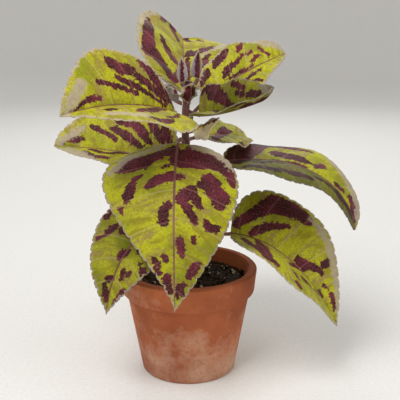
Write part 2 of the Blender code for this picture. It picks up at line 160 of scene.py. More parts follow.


# From the lowest pair up: name, node, leaves at, points to, petiole, length, width and pitch.
# The brightness pairs of the halves below are painted shade and painted light on the leaves' colour.
LEAVES = (
    Leaf("leaf_low_left", 0.090, 205, 229, 0.022, 0.070, 0.052, (38, 12, -50, -80),
         swing=-8, roll=(-25, -25), fold=(10, 10), tip_form=(1.1, 1.2),
         painted_light_and_shade=(0.74, 0.74)),
    Leaf("leaf_low_right", 0.090, -5, -5, 0.022, 0.097, 0.078, (12, -2, -45, -60),
         roll=(25, 25), fold=(25, 25), tip_form=(1.0, 0.6)),
    Leaf("leaf_low_back", 0.114, 92, 92, 0.028, 0.095, 0.066, (20, 5, -35, -65)),
    Leaf("leaf_mid_left", 0.137, 180, 168, 0.006, 0.080, 0.060, (25, 12, 5, 0),
         roll=(-25, -25), fold=(18, 30), uneven=-0.11, base_form=(0.34, 0.34),
         tip_form=(0.8, 0.55), rim=1.4),
    Leaf("leaf_mid_right", 0.137, 0, 0, 0.020, 0.104, 0.064, (10, 6, -20, -85),
         swing=-25, fold=(8, -5), uneven=0.08, tip_form=(0.75, 0.8), painted_light_and_shade=(0.92, 0.34),
         bright_below=True),
    Leaf("leaf_front", 0.152, 254, 264, 0.018, 0.106, 0.083, (45, -25, -70, -88),
         swing=12, fold=(-12, -12), uneven=-0.09, tip_form=(1.05, 1.5), painted_light_and_shade=(0.90, 0.90)),
    Leaf("leaf_back", 0.152, 74, 34, 0.012, 0.042, 0.050, (10, 0, -7, -26),
         roll=(10, 14), fold=(8, 8), uneven=-0.12, base_form=(0.9, 0.35), tip_form=(0.35, 0.8),
         painted_light_and_shade=(1.20, 1.20), bright_below=True),
    Leaf("leaf_upper_left", 0.168, 235, 221, 0.007, 0.083, 0.073, (30, 22, 4, -10),
         roll=(-25, -25), fold=(12, 45), uneven=0.06, base_form=(0.36, 1.0), tip_form=(0.9, 0.9),
         rim=1.4, painted_light_and_shade=(1.12, 1.12)),
    Leaf("leaf_upper_right", 0.168, 28, 26, 0.016, 0.063, 0.042, (45, 35, 24, 17),
         roll=(15, 12), fold=(33, -7), uneven=0.06, base_form=(0.36, 0.35), tip_form=(0.38, 0.8)),
    Leaf("leaf_upper_back", 0.174, 100, 92, 0.011, 0.069, 0.075, (45, 38, 26, 19),
         roll=(14, 23), fold=(20, 20), uneven=0.02, base_form=(0.26, 0.70), tip_form=(0.18, 0.60)),
    Leaf("leaf_upper_front", 0.1715, -30, -38, 0.007, 0.060, 0.038, (-25, 5, 18, 22),
         roll=(20, 20), fold=(53, 23), hook=40, base_form=(0.18, 0.35), tip_form=(0.50, 0.9),
         rim=0.7, painted_light_and_shade=(0.48, 0.55), bright_below=True),
    Leaf("side_leaf_up", 0.162, -80, -55, 0.003, 0.009, 0.007, (20, 50, 50, 50), teeth=6,
         fold=(20, 20), wave=0.0, young=0.8),
    Leaf("side_leaf_out", 0.159, -40, -28, 0.004, 0.020, 0.021, (15, 28, 28, 20), teeth=8,
         fold=(5, -55), painted_light_and_shade=(0.80, 2.00)),
    Leaf("young_leaf_left", 0.1765, 180, 185, 0.003, 0.0155, 0.015, (20, 27, 32, 35), teeth=8,
         fold=(45, 60), base_form=(0.50, 0.75), tip_form=(0.7, 0.7), rim=0.5, young=0.9),
    Leaf("young_leaf_right", 0.1765, -65, -62, 0.002, 0.0125, 0.0125, (30, 62, 72, 70), teeth=8,
         fold=(25, 25), base_form=(0.38, 0.38), tip_form=(0.6, 0.6), young=0.55),
    Leaf("bud_leaf_left", 0.187, 222, 235, 0.004, 0.016, 0.009, (25, 78, 93, 100), teeth=6,
         fold=(20, 20), wave=0.0, rim=0.8, young=1.0),
    Leaf("bud_leaf_right", 0.187, -10, -35, 0.0075, 0.017, 0.0125, (25, 75, 90, 92), teeth=6,
         fold=(20, 20), wave=0.0, rim=0.8, young=1.0),
)

# Marks on each blade laid flat, in millimetres: every mark is a brush stroke through places
# (along the midrib, across it with the plus half up, half breadth there).
WINE = {
    "leaf_front": (
        ((13, 3, 6.5), (13, 12, 7), (13, 20, 5.5), (15, 27, 4.5), (20, 32, 3), (28, 34.5, 1.6)),
        ((5, 8, 2.5), (10, 10, 4)), ((26, 0.5, 1.2), (26, 5, 0.8)),
        ((27, 20, 4.5), (32, 22, 4.5), (38, 27, 5.5), (42, 27, 3.5)), ((28, 24, 3), (30, 16, 2.5)),
        ((34, 10, 3), (37, 6, 3.2), (39, 2, 1.5)), ((36, 10, 3.5), (41, 13, 2.2), (44, 15, 1.5)),
        ((41, 3, 1.4), (44, 7, 2.2), (49, 10, 2), (54, 12.5, 1)),
        ((53, 19, 1.5), (57, 20, 2), (57, 24.5, 2)), ((62, 11.5, 1.2), (65, 11.5, 1)),
        ((64, 3.5, 2), (70, 4, 1.6), (73, 5, 1)), ((79, 13, 2.2), (83, 10, 2.4), (85, 8, 1.5)),
        ((90, 5, 1.2), (93, 4, 1.2), (96, 5, 0.8)), ((91, 2, 1), (98, 2, 0.8)),
        ((7, -2, 4), (9, -8, 3), (12, -14, 3), (15, -20, 4.5), (16, -28, 5), (18, -35, 3.5)),
        ((17.5, -3, 0.5), (19, -7, 0.4)),
        ((25.5, -2, 2.8), (27, -8, 2.5), (30, -13, 2.5), (32, -16, 1.5)),
        ((24.5, -20, 0.7), (27, -24, 1.3), (32, -26, 2.5), (37, -28, 3), (40, -28.5, 1.5)),
        ((43, -3, 1.8), (47, -6, 3), (53, -5.5, 2.6)), ((45, -32, 1.3), (47.5, -30.5, 0.9)),
        ((73, -6, 1.5), (75.5, -4.5, 0.9)), ((74, -12, 1), (77, -10, 1.3), (79, -8, 0.8)),
        ((85, -4, 2), (90, -4, 2.2), (94, -2, 1)), ((83, -8, 0.9), (80, -11, 0.8)),
    ),
    "leaf_low_right": (
        ((3, 7, 2.5), (8, 12, 3), (13, 18, 3), (17, 24, 4), (22, 29, 6.5), (30, 31.5, 5.5),
         (38, 31, 3.5)), ((13, 2.5, 1.5), (17, 7, 2.5), (22, 12, 2), (27, 15.5, 2), (31, 18.5, 1.2)),
        ((48, 4, 3), (53, 5, 3.2), (57, 8.5, 2), (64, 10.5, 1.2)), ((61, 15.5, 2.3), (62, 19, 1.8)),
        ((70, 6.5, 0.8), (75, 8, 0.6)), ((79, 7.5, 1.6), (84, 6, 1.3), (88, 4, 0.8)),
        ((72, 1, 1), (75, 1, 0.7)), ((8, -12, 1.5), (14, -22, 1.5), (22, -31, 2)),
        ((17, -3, 1.5), (20, -12, 3), (21, -22, 4), (25, -30, 4), (31, -32, 1.5)),
        ((49, -3, 2), (46, -9, 2.5), (42, -14, 1.5)), ((44, -20, 0.8), (48, -26, 1)),
        ((52, -20, 2), (57, -17, 2.5)), ((63, -17, 1.2), (67, -16, 1)), ((48, -32, 1.5), (51, -34, 1)),
        ((66, -6, 2), (72, -9, 2)), ((80, -6, 1.5), (84, -4, 1)),
    ),
    "leaf_low_left": (
        ((37, 18, 2), (39, 20, 1)), ((41, 10.5, 1), (43, 10, 1)), ((41, 5.5, 1), (46, 6, 1.3)),
        ((53, 10.5, 1.8), (56, 8.5, 1.5)), ((60, 6, 1.2), (63, 5, 1)),
        ((30, 1, 2), (33, -1.5, 2.3), (35, -2, 1.5)), ((34, 14, 1),), ((49, -3, 1.6), (48, -1, 1)),
        ((53, -4, 1), (58, -2, 1.8), (61, -1, 1.2)), ((22, -15, 1.5), (25, -16.5, 1.6), (28, -17.5, 1)),
        ((31, -19.5, 1.2),), ((19, -24, 1.5), (21, -23, 1)),
        ((6, 5, 2), (10, 9, 2.5), (18, 15, 3), (26, 19, 2)),
        ((12, -3, 1.5), (16, -7, 2.5), (22, -10, 1.5)), ((20, 4, 1.5), (26, 9, 2)),
    ),
    "leaf_low_back": (
        ((4, 6, 2.5), (10, 12, 3.5), (18, 20, 4.5), (27, 26, 4), (36, 28, 2)),
        ((16, 3, 1.5), (22, 8, 2.5), (30, 14, 2.5), (36, 18, 1.2)),
        ((44, 4, 2), (50, 8, 2.8), (58, 12, 1.5)), ((64, 5, 1.5), (70, 7, 1)),
        ((5, -5, 2.5), (11, -12, 4), (19, -20, 4.5), (28, -25, 3.5)),
        ((24, -3, 1.5), (30, -9, 3), (38, -14, 2)), ((46, -10, 2), (54, -13, 2.5)),
        ((60, -3, 1.5), (66, -6, 1.8)), ((78, -4, 1.5), (82, -2, 1)),
    ),
    "leaf_mid_left": (
        ((6, -13, 1.8), (9, -18, 2.2), (11, -21, 1.5)), ((10, -12, 1.8), (15, -17, 2.8), (19, -21, 2)),
        ((17, -9, 1), (20, -11.5, 1.9), (24, -15, 2.8), (28, -19, 2.8)),
        ((22, -5, 1.4), (27, -8, 1.9), (34, -12, 2.4), (41, -15, 1.9), (44, -15, 0.9)),
        ((30, -20, 1.4), (34, -20.5, 2.2), (42, -21, 1.4)),
        ((39, -8, 1.1), (45, -11, 1.3), (52, -13, 1.2), (57, -14.5, 0.9)),
        ((61, -6, 0.9), (66, -5.5, 1.9), (71, -4, 0.9)), ((73, -2.5, 0.7), (76, -2, 0.5)),
        ((4, -25, 2), (12, -29, 2)),
        ((30, 2, 0.9), (36, 6, 2.3), (39, 10, 1.4), (46, 8, 2.4), (53, 5, 1.4)),
        ((38, 19, 1.4), (46, 19, 2.8), (53, 14, 2.2), (57, 10, 1)),
        ((8, 8, 2), (14, 14, 3), (20, 20, 2.5)), ((20, 4, 1.5), (26, 10, 2)),
    ),
    "leaf_mid_right": (
        ((5, 3, 4), (10, 10, 7), (14, 18, 8), (18, 26, 7.5), (24, 29, 6)),
        ((12, 2, 5), (18, 14, 6), (21, 22, 5)),
        ((24, 29, 5), (34, 28, 4.5), (43, 27, 3.2), (51, 25, 1.4)),
        ((33, 10, 4), (40, 9.5, 4.4), (47, 8.5, 3.6), (53, 8, 1.5)), ((58, 8, 1.7), (61, 12, 2)),
        ((73, 4, 1.2), (79, 5, 1.2)), ((86, 7, 2.6), (92, 4, 3.6), (98, 1.5, 1.6)),
        ((4, -3, 3), (9, -8, 5), (13, -6, 4.5), (17, -3, 2)),
        ((18, -3.5, 1.2), (30, -1.5, 1.5), (42, 0.5, 1.3), (52, 1.5, 0.8)),
        ((20, -12, 1.2), (30, -8.5, 1.4), (38, -5, 0.9)),
        ((13, -20.5, 1.6), (24, -22, 2.4), (36, -22.5, 2)),
        ((38, -19.5, 2), (47, -19, 3), (58, -17, 2)),
        ((60, -9, 1), (70, -9, 1.7), (80, -7, 2.4), (88, -5, 3), (94, -2.5, 2.4)),
        ((68, -2, 1.2), (80, -3, 1.6)),
    ),
    "leaf_back": (
        ((3, -16, 2.4), (7, -12, 3.4), (12, -8, 3), (16, -4, 3)),
        ((15, -3, 2.6), (21, 3, 3.2), (26, 5.5, 3.2)), ((18, -22, 1.6), (17, -25, 1.6)),
        ((4, 5, 1.5), (9, 10, 2), (15, 15, 2)),
    ),
    "leaf_upper_left": (
        ((3, -4, 0.7), (9, -9, 1.7), (15, -14, 2.2), (20, -20, 2.2), (26, -27, 1.6)),
        ((8, -4.5, 0.8), (16, -9.5, 1.6), (24, -14.5, 2), (30, -18, 1.4)),
        ((33, -21, 2.4), (39, -22.5, 3.6), (45, -25.5, 3)),
        ((9, -2.5, 0.4), (20, -6.5, 0.7), (28, -10.5, 1.2), (36, -13.5, 1.6), (43, -16.5, 0.9)),
        ((30, -7, 0.6), (38, -9.5, 1.1), (46, -12, 1.2), (55, -14.5, 0.8)),
        ((56, -5, 0.5), (62, -5.5, 1.7), (66, -4, 1.1), (70, -3, 0.5)), ((71, -2, 0.6), (77, -1, 0.4)),
        ((12, 4, 1), (18, 7, 1.9), (26, 11, 3), (34, 14, 3), (42, 17, 1.4)),
        ((24, 27, 1.4), (30, 29, 2.8), (37, 29, 2.8), (42, 26, 1.2)),
        ((8, 13, 0.6), (16, 20, 1), (24, 24, 0.8)), ((53, 10, 1.4), (57, 9.5, 1.9)),
    ),
    "leaf_upper_right": (
        ((3, 9, 1), (7, 11.5, 2), (11, 13.5, 1.7), (13, 16, 0.7)),
        ((18, 15, 1.2), (21, 17.5, 2.7), (26, 18, 2.5), (30, 19.5, 1.2)),
        ((17.5, 5, 0.8), (22, 8, 2.1), (28, 8.5, 1.4), (33, 9.5, 0.8), (37, 11.5, 0.4)),
        ((35, 14, 0.6), (38, 17, 1.4), (42, 20, 0.8)), ((20, 2, 0.5), (29, 1.8, 0.5), (38, 1.8, 0.2)),
        ((40, 5, 0.7), (43, 6, 0.9), (46, 6.3, 0.5)), ((40, 10.3, 0.6), (43, 11, 0.4)),
        ((49, 12.5, 0.7), (50.5, 8.5, 0.9), (52, 4, 0.5)),
        ((28, -7.5, 0.9), (34, -5.8, 0.8), (40, -5, 0.4)), ((31, -12, 0.7), (33, -15, 0.7)),
        ((10, -8, 2), (18, -13, 2)),
    ),
    "leaf_upper_back": (
        ((54, 31.5, 2), (46, 31, 3.2), (36, 30.5, 4), (28, 29.5, 4.5), (21, 28.5, 5)),
        ((21, 26, 4.5), (16, 20, 3.4), (11, 15, 3.2), (6, 11, 2.2)),
        ((40, 20.5, 1.1), (35, 18, 1.7), (30, 14, 2.2), (26, 10, 3), (24, 8, 2)),
        ((4, 9, 1.8), (11, 7, 2), (15, 6, 1)), ((65, 20, 2.3), (69, 19.5, 1.8)),
        ((55, 6, 1.8), (61, 9.5, 3.2), (68, 12, 1.8)), ((40, -8, 2.3), (45, -14, 3.3), (49, -20, 2.2)),
        ((40, -3, 2.2), (45, -5, 1.4)), ((8, -3, 1.2), (36, -3, 1.2)),
        ((12, -11, 1.5), (22, -14.5, 2), (33, -15, 1.5), (38, -17, 1.2)),
        ((60, -5, 1.1), (66, -2, 1.3)), ((62, -11, 1.3), (60, -14, 0.9)),
        ((14, -20, 2), (20, -27, 3), (28, -31, 2)),
    ),
    "leaf_upper_front": (
        ((8, 15, 3), (12, 16.5, 3.6), (16, 12, 3.6), (20, 8, 3.2), (24, 4, 2)),
        ((9, 11, 1.8), (15, 8, 1.5)), ((1, 13, 1.6), (5, 16, 1.8)),
        ((28, 15.5, 1.3), (33, 12.5, 1.4), (37, 10.5, 0.8)), ((31, 9, 1.1), (36, 7, 1.1)),
        ((40, 6, 1.5), (46, 5, 1.8), (50, 5, 0.9)), ((27, 2, 0.8), (36, 1.5, 1), (46, 1, 0.8)),
        ((35, -2, 1.6), (44, -2.5, 2.2), (51, -1.5, 1.2)), ((30, -13, 2.2), (40, -9, 2)),
        ((12, -7, 2.5), (20, -9, 2.6), (26, -13, 2.4)),
    ),
    "side_leaf_up": (
        ((5, 0.5, 0.9), (8, 0, 0.6)),
    ),
    "side_leaf_out": (
        ((0, 0, 0.8), (8, 0, 0.7), (18, -1, 0.8)), ((5, 6, 0.6), (12, 5, 0.9), (16, 3, 0.6)),
        ((4, -2.5, 0.4), (8, -3.5, 0.5)),
    ),
    "young_leaf_left": (
        ((1, -4, 1.4), (6, -4.5, 2), (12, -2, 1)),
    ),
    "young_leaf_right": (
        ((1, -2, 1.8), (5, -1.5, 2.4), (9, -1, 2)), ((6, 3, 1.4), (10, 2, 1.2)),
    ),
    "bud_leaf_left": (
        ((0, 0.4, 0.9), (8, 0.6, 1), (14, 0.2, 0.4)),
    ),
    "bud_leaf_right": (
        ((0, -1, 1.4), (8, -1, 1.7), (14, -0.6, 0.8)),
    ),
}
# Pale places that run in from the margin.
BEIGE = {
    "leaf_front": (
        ((2, 10, 2.5), (8, 27, 3), (16, 34, 2.5)), ((2, -8, 1.5), (10, -30, 3), (20, -40, 3)),
    ),
    "leaf_upper_left": (
        ((66, -13, 4), (74, -6, 3.5), (79, 0, 2)), ((42, 24, 3), (50, 20, 2.5), (60, 14, 2.5)),
    ),
    "leaf_mid_left": (
        ((62, -14, 2), (70, -8, 3), (76, -3, 2.5)), ((44, 24, 2), (58, 14, 4), (68, 6, 3)),
    ),
    "leaf_upper_right": (
        ((47, 20, 1.5), (53, 17, 3.2), (58, 12, 4.4), (62, 7, 3.2)), ((2, 12, 1.5), (8, 17, 2)),
    ),
    "leaf_mid_right": (
        ((62, 27, 2.4), (72, 22, 4), (82, 17, 5), (91, 11, 4.5), (98, 5, 3)),
    ),
    "leaf_low_right": (
        ((40, 33, 2), (56, 27, 2.5), (75, 16, 2.5), (90, 6, 2)),
    ),
    "side_leaf_out": (
        ((2, -6, 4), (7, -6.5, 4.5), (13, -4.5, 3)),
    ),
    "side_leaf_up": (
        ((0, 0, 3.5), (4, 0, 3.5)), ((4, -3, 1.5), (6, -3, 1)),
    ),
    "leaf_upper_back": (
        ((10, 32, 1.5), (24, 36, 1.8), (40, 37, 1.6), (56, 34, 2), (66, 27, 2)),
        ((36, -11, 1), (44, -20, 1.5), (52, -27, 3)),
    ),
    "leaf_upper_front": (
        ((50, 10, 2), (55, 4, 3.4), (59, 0, 3.6)),
    ),
}

# Marks on the leaves. Distances are in millimetres.
FAR = 30.0  # farther than any mark reaches
OFF_BLADE = 9.0  # from a petiole to the rim and the side veins
RIB_PAINT = 1.05  # half breadth of the mauve midrib at the blade's base
RIB_PAINT_TAPER = 0.6
SMALL_RIB = 0.35  # share of that breadth on a small leaf
VEIN_SQUEEZE = 0.22  # how fast patterns change along the side veins, to 1 across them
LEAF_APART = 137.0  # between the patterns of two leaves
CELLS_PER_MM = 0.65  # cells of the finest veins, about 1.5 mm across

# Stem, soil and hairs as fine as they show.
STEM_ROWS = 220
STEM_COLUMNS = 64
STEM_DOME_ROWS = 8
STEM_DOME_END = np.pi / 2 * 0.98
STEM_GROOVE = 0.0003
SOIL_ROWS = 100
SOIL_COLUMNS = 320
SOIL_BUMPS = ((0.0060, 0.0007), (0.0022, 0.0006), (0.0009, 0.0003))
SOIL_NET = 256
SOIL_WALL_SHARE = 0.03
SOIL_HOLE_SHARE = 0.02
SOIL_REACH = (0.006, 0.0375)
CRUMBS = 420
CRUMB_SIZES = (0.0009, 0.0034)
PERLITES = 60
PERLITE_SIZES = (0.0010, 0.0028)
BIT_RISE = 0.3
BIT_STRETCH = (0.6, 1.2)
BIT_DENTS = (0.75, 1.1)
HAIR_HALF = 0.00005
HAIR_TAPER = 0.7
HAIR_SAG = 0.35
HAIR_MIDDLE_SAG = 0.3
HAIRS_ABOVE = 0.080
MERGED = 1e-6
SHARP = math.radians(40)

# Colours as sRGB.
LIME = "#C2C022"
LEAF_GREEN = "#86911C"
OLIVE = "#8F8122"
SPECK = "#7E7A1E"
TAN = "#A78C52"
WINE_DARK = "#3E1118"
WINE_PURPLE = "#6C2434"
MAUVE = "#93605C"
MAUVE_DEEP = "#6E3F47"
VEIN_PALE = "#BDB06A"
BEIGE_GREY = "#AB9A90"
BEIGE_WARM = "#B8AA8A"
LOWER_FACE = "#8C8E5C"
YOUNG_MAUVE = "#A0929A"
STEM_MAUVE = "#5E343C"
STEM_GREEN = "#6F6248"
CLAY = "#B9683F"
CLAY_DEEP = "#9A4F2E"
CLAY_BLOOM = "#D3B298"
PEAT_WET = "#22170F"
PEAT_DRY = "#553E29"
PERLITE_WHITE = "#E6E2D8"
PERLITE_GREY = "#BDB8AC"
HAIR_WHITE = "#D9D6D2"
HAIR_MAUVE = "#A89AA0"
PAPER_HIGH = "#ECEAE6"
PAPER_LOW = "#E4E2DE"

# Patches on a leaf's lime ground: the pattern's places, its scale to a millimetre, detail,
# roughness and distortion, how far the finest cells break it up, the noise at which the patch
# starts and is full, its greatest share and its colour.
PATCHES = (
    ("flat", 0.055, 3.0, 0.50, 0.0, 0.00, 0.46, 0.64, 0.85, LEAF_GREEN),  # 18 mm clouds
    ("run", 0.32, 5.0, 0.50, 0.4, 0.00, 0.50, 0.64, 0.75, OLIVE),  # 3 by 14 mm streaks
    ("run", 0.24, 5.0, 0.65, 0.0, 0.10, 0.55, 0.68, 0.85, TAN),  # 4 by 19 mm streaks
    ("flat", 1.1, 5.0, 0.70, 0.0, 0.12, 0.54, 0.70, 0.65, SPECK),  # 0.9 mm specks
)

# Camera and light. The photograph looks down by 15 degrees from half a metre away.
CAMERA_PITCH = math.radians(15)
CAMERA_AWAY = 0.500
CAMERA_LENS = 70.0
CAMERA_CLIP = 0.01
CAMERA_TARGET = Vector((0.0077, 0.0, 0.1145))
DISH_FLAT = 1.3
DISH_BEND = 0.7
DISH_WALL = 1.6
DISH_SIDES = 96
DISH_BEND_ROWS = 16
WORLD_GREY = "#F2F3F5"
WORLD_POWER = 0.45
# Every light: place, what it points to, side of its square, watts.
LIGHTS = (
    ((-0.42, -0.55, 1.15), (0.0, 0.0, 0.14), 0.7, 11.0),
    ((0.90, -0.35, 0.55), (0.0, 0.0, 0.14), 0.8, 2.5),
    ((0.10, 0.90, 0.80), (0.0, 0.0, 0.14), 0.8, 4.0),
)

# Pieces that carry hairs: name, how many hairs, the shortest and the longest.
HAIRY = (
    ("bud_leaf_left", 150, 0.0008, 0.0018),
    ("bud_leaf_right", 150, 0.0008, 0.0018),
    ("young_leaf_left", 80, 0.0006, 0.0012),
    ("young_leaf_right", 80, 0.0006, 0.0012),
    ("stem", 260, 0.0006, 0.0014),
)


def smooth_step(value):
    """0 below 0, 1 above 1 and 3v^2 - 2v^3 between."""
    value = np.clip(value, 0, 1)
    return value * value * (3 - 2 * value)


def bands(rows, columns):
    """Numbers of the points of loops, and the four-sided faces that join neighbouring loops."""
    ids = np.arange(rows * columns).reshape(rows, columns)
    after = np.roll(ids, -1, axis=1)
    return ids, np.stack([ids[:-1], after[:-1], after[1:], ids[1:]], -1).reshape(-1, 4)


def new_mesh(name, points, faces):
    """A mesh of those points and faces."""
    mesh = bpy.data.meshes.new(name)
    mesh.from_pydata(points.reshape(-1, 3), [], faces)
    return mesh


def copies(name, points, faces):
    """A mesh of small pieces with the same faces, from points as (pieces, points in each, 3)."""
    numbers = np.array(faces) + points.shape[1] * np.arange(len(points))[:, None, None]
    return new_mesh(name, points, numbers.reshape(-1, 3).tolist())


def rings(radii, heights, angles):
    """Level rings round the axis as (rings, angles, 3), a height each and radii at the angles."""
    radii, heights = np.broadcast_arrays(radii, heights[:, None] + 0 * angles)
    return np.stack([radii * np.cos(angles), radii * np.sin(angles), heights], -1)


def shell(name, loops, marks=None):
    """A closed mesh over loops of points, as (loops, points in each, 3), with marks on its points.

    Neighbouring loops are joined by four-sided faces and the first and the last are closed by one
    face each. The faces are turned outwards, which is where the mesh's signed volume is positive.
    """
    ids, sides = bands(*loops.shape[:2])
    points = loops.reshape(-1, 3)
    a, b, c, d = (points[sides[:, k]] for k in range(4))
    volume = np.einsum("ij,ij->", a, np.cross(b, c)) + np.einsum("ij,ij->", a, np.cross(c, d))
    faces = sides.tolist() + [ids[0, ::-1].tolist(), ids[-1].tolist()]
    if volume < 0:
        faces = [face[::-1] for face in faces]
    mesh = new_mesh(name, points, faces)
    mesh.shade_smooth()
    for mark, values in (marks or {}).items():
        kind, key = ("FLOAT_VECTOR", "vector") if values.ndim == 3 else ("FLOAT", "value")
        layer = mesh.attributes.new(mark, kind, "POINT")
        layer.data.foreach_set(key, values.ravel().astype(np.float32))
    return mesh


def piece(name, mesh, finish, slot, *nodes):
    """An object of the mesh in its finish that rides on the plant and stands for the nodes."""
    mesh.materials.append(finish)
    made = bpy.data.objects.new(name, mesh)
    bpy.context.scene.collection.objects.link(made)
    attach(made, "root")
    if nodes:
        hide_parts(*nodes)


def stem_centre(height):
    """The stem's centre at a height: a double bend, two sines of the share of height."""
    share = np.clip((height - STEM_BENDS_FROM) / (STEM_TOP - STEM_BENDS_FROM), 0, 1)
    across, deep = STEM_BEND
    return across * np.sin(2 * np.pi * share), deep * np.sin(3 * np.pi * share)


def node_swell(height):
    """1 at a node of the stem, falling away from it by a bell curve."""
    return sum(np.exp(-((height - node) / STEM_NODE_REACH) ** 2) for node in STEM_NODES)


def stem_radius(height, angle):
    """A rounded square, half / (|cos|^4 + |sin|^4)^(1/4), that tapers and swells at each node."""
    share = np.clip((height - SOIL_TOP) / (STEM_TOP - SOIL_TOP), 0, 1)
    half = STEM_FOOT_HALF + (STEM_TOP_HALF - STEM_FOOT_HALF) * share
    corner = np.abs(np.cos(angle)) ** STEM_SQUARE + np.abs(np.sin(angle)) ** STEM_SQUARE
    return half * (1 + STEM_NODE_SWELL * node_swell(height)) * corner ** (-1 / STEM_SQUARE)


def stem_reach(height, angle, half_breadth):
    """How far out a flat end of that half breadth is pushed by the stem, in that direction."""
    radii = stem_radius(height, angle + SIDEWAYS)
    met = np.abs(radii * np.sin(SIDEWAYS)) <= half_breadth
    return float((radii * np.cos(SIDEWAYS))[met].max())


class Midrib:
    """The line of a leaf from the stem to its tip, with the frame carried along it.

    The direction is integrated from the azimuth and the pitch, so the line keeps its real length.
    """

    def __init__(self, leaf):
        self.along = np.linspace(-leaf.petiole, leaf.length, MIDRIB_STEPS)
        stalk = np.clip((self.along + leaf.petiole) / leaf.petiole, 0, 1)
        blade = np.clip(self.along / leaf.length, 0, 1)
        root, base, middle, tip = leaf.pitch
        bow = 2 * (base + tip - 2 * middle)
        pitch = root + (base - root) * stalk + (tip - base - bow) * blade + bow * blade ** 2
        pitch = np.radians(pitch + leaf.hook * smooth_step((blade - HOOK_FROM) / (1 - HOOK_FROM)))
        turn = (leaf.points_to - leaf.leaves_at) * smooth_step(stalk)
        azimuth = np.radians(leaf.leaves_at + turn + leaf.swing * blade)
        roll = np.radians(smooth_step(stalk) * leaf.roll[0] + (leaf.roll[1] - leaf.roll[0]) * blade)
        flat = np.zeros(MIDRIB_STEPS)
        ahead = np.stack([np.cos(pitch) * np.cos(azimuth), np.cos(pitch) * np.sin(azimuth),
                          np.sin(pitch)], 1)
        side = np.stack([-np.sin(azimuth), np.cos(azimuth), flat], 1)
        up = np.cross(ahead, side)
        cos, sin = np.cos(roll)[:, None], np.sin(roll)[:, None]
        self.side, self.up = side * cos + up * sin, up * cos - side * sin
        x, y = stem_centre(leaf.node)
        angle = math.radians(leaf.leaves_at)
        out = stem_reach(leaf.node, angle, petiole_radius(leaf)) + GAP
        root_point = np.array([x + out * math.cos(angle), y + out * math.sin(angle), leaf.node])
        step = (leaf.petiole + leaf.length) / (MIDRIB_STEPS - 1)
        walked = np.cumsum((ahead[1:] + ahead[:-1]) / 2 * step, axis=0)
        self.points = root_point + np.vstack([np.zeros(3), walked])

    def at(self, along):
        """The point, the side direction and the up direction at distances from the blade's base."""
        return tuple(np.stack([np.interp(along, self.along, part[:, k]) for k in range(3)], -1)
                     for part in (self.points, self.side, self.up))


def petiole_radius(leaf):
    """Half of the petiole's thickness."""
    return min(PETIOLE_RADIUS, PETIOLE_SHARE * leaf.width)


def half_width(leaf, share, sign):
    """The width of one half, (s/w)^a ((1-s)/(1-w))^b with the widest place at w = a/(a+b)."""
    half = 0 if sign > 0 else 1
    a, b = leaf.base_form[half], leaf.tip_form[half]
    widest = a / (a + b)
    form = (share / widest) ** a * ((1 - share) / (1 - widest)) ** b
    return leaf.width / 2 * (1 + sign * leaf.uneven) * form


def margin(leaf, stations, sign):
    """Points of one half's margin laid flat, evenly spaced along it, as (along, across)."""
    share = (1 - np.cos(np.linspace(0, np.pi, MARGIN_STEPS))) / 2
    along, across = leaf.length * share, half_width(leaf, share, sign)
    walked = np.concatenate([[0], np.cumsum(np.hypot(np.diff(along), np.diff(across)))])
    at = stations * walked[-1]
    return np.interp(at, walked, along), np.interp(at, walked, across)


def blade_plan(leaf, stations, out, sign):
    """One half of the blade laid flat: rows follow the side veins from the midrib to the margin.

    A row starts on the midrib at smooth (1 - 0.45 (1 - smooth / length)), where smooth is the
    mean of both margins without teeth, and bends forward by out^1.5, with out from 0 on the
    midrib to 1 on the margin. Each tooth is a bump |sin|^0.6 with a smaller one of half its
    length on top, on the outer fifth. The teeth set in half a tooth from the base and shrink
    over the last one and a half. Returns along, across and the distance to the margin.
    """
    edge_along, edge_across = margin(leaf, stations, sign)
    smooth_along = (edge_along + margin(leaf, stations, -sign)[0]) / 2
    slope_along, slope_across = np.gradient(edge_along), np.gradient(edge_across)
    steep = np.hypot(slope_along, slope_across)
    slope_along, slope_across = slope_along / steep, slope_across / steep
    size = TOOTH_DEPTH * min(1.0, leaf.width / FULL_WIDTH) / 2
    turn = np.pi * stations * leaf.teeth
    bump = 2 * np.abs(np.sin(turn)) ** TOOTH_ROUND - 1
    bump = bump * (1 - SMALL_TEETH) + (2 * np.abs(np.sin(2 * turn)) ** TOOTH_ROUND - 1) * SMALL_TEETH
    bump = size * bump * smooth_step(stations * leaf.teeth - TOOTHLESS_BASE)
    bump = bump * smooth_step((1 - stations) * leaf.teeth / TOOTHLESS_TIP)
    tooth_along = bump * (TOOTH_LEAN * slope_along - slope_across)
    tooth_across = bump * (TOOTH_LEAN * slope_across + slope_along)
    rib_along = smooth_along * (1 - VEIN_SWEEP * (1 - smooth_along / leaf.length))
    outer = smooth_step((out - 1 + TOOTH_SHARE) / TOOTH_SHARE)
    reach = np.maximum(edge_across, petiole_radius(leaf) * (1 - stations) + TIP_HALF * stations)
    along = rib_along[:, None] + (edge_along - rib_along)[:, None] * out ** VEIN_BEND
    along = np.clip(along + tooth_along[:, None] * outer, 0, leaf.length)
    across = reach[:, None] * out + tooth_across[:, None] * outer
    to_edge = (slope_along[:, None] * (across[:, -1:] - across)
               - slope_across[:, None] * (along[:, -1:] - along))
    return along, np.maximum(across, 0), np.maximum(to_edge, 0)


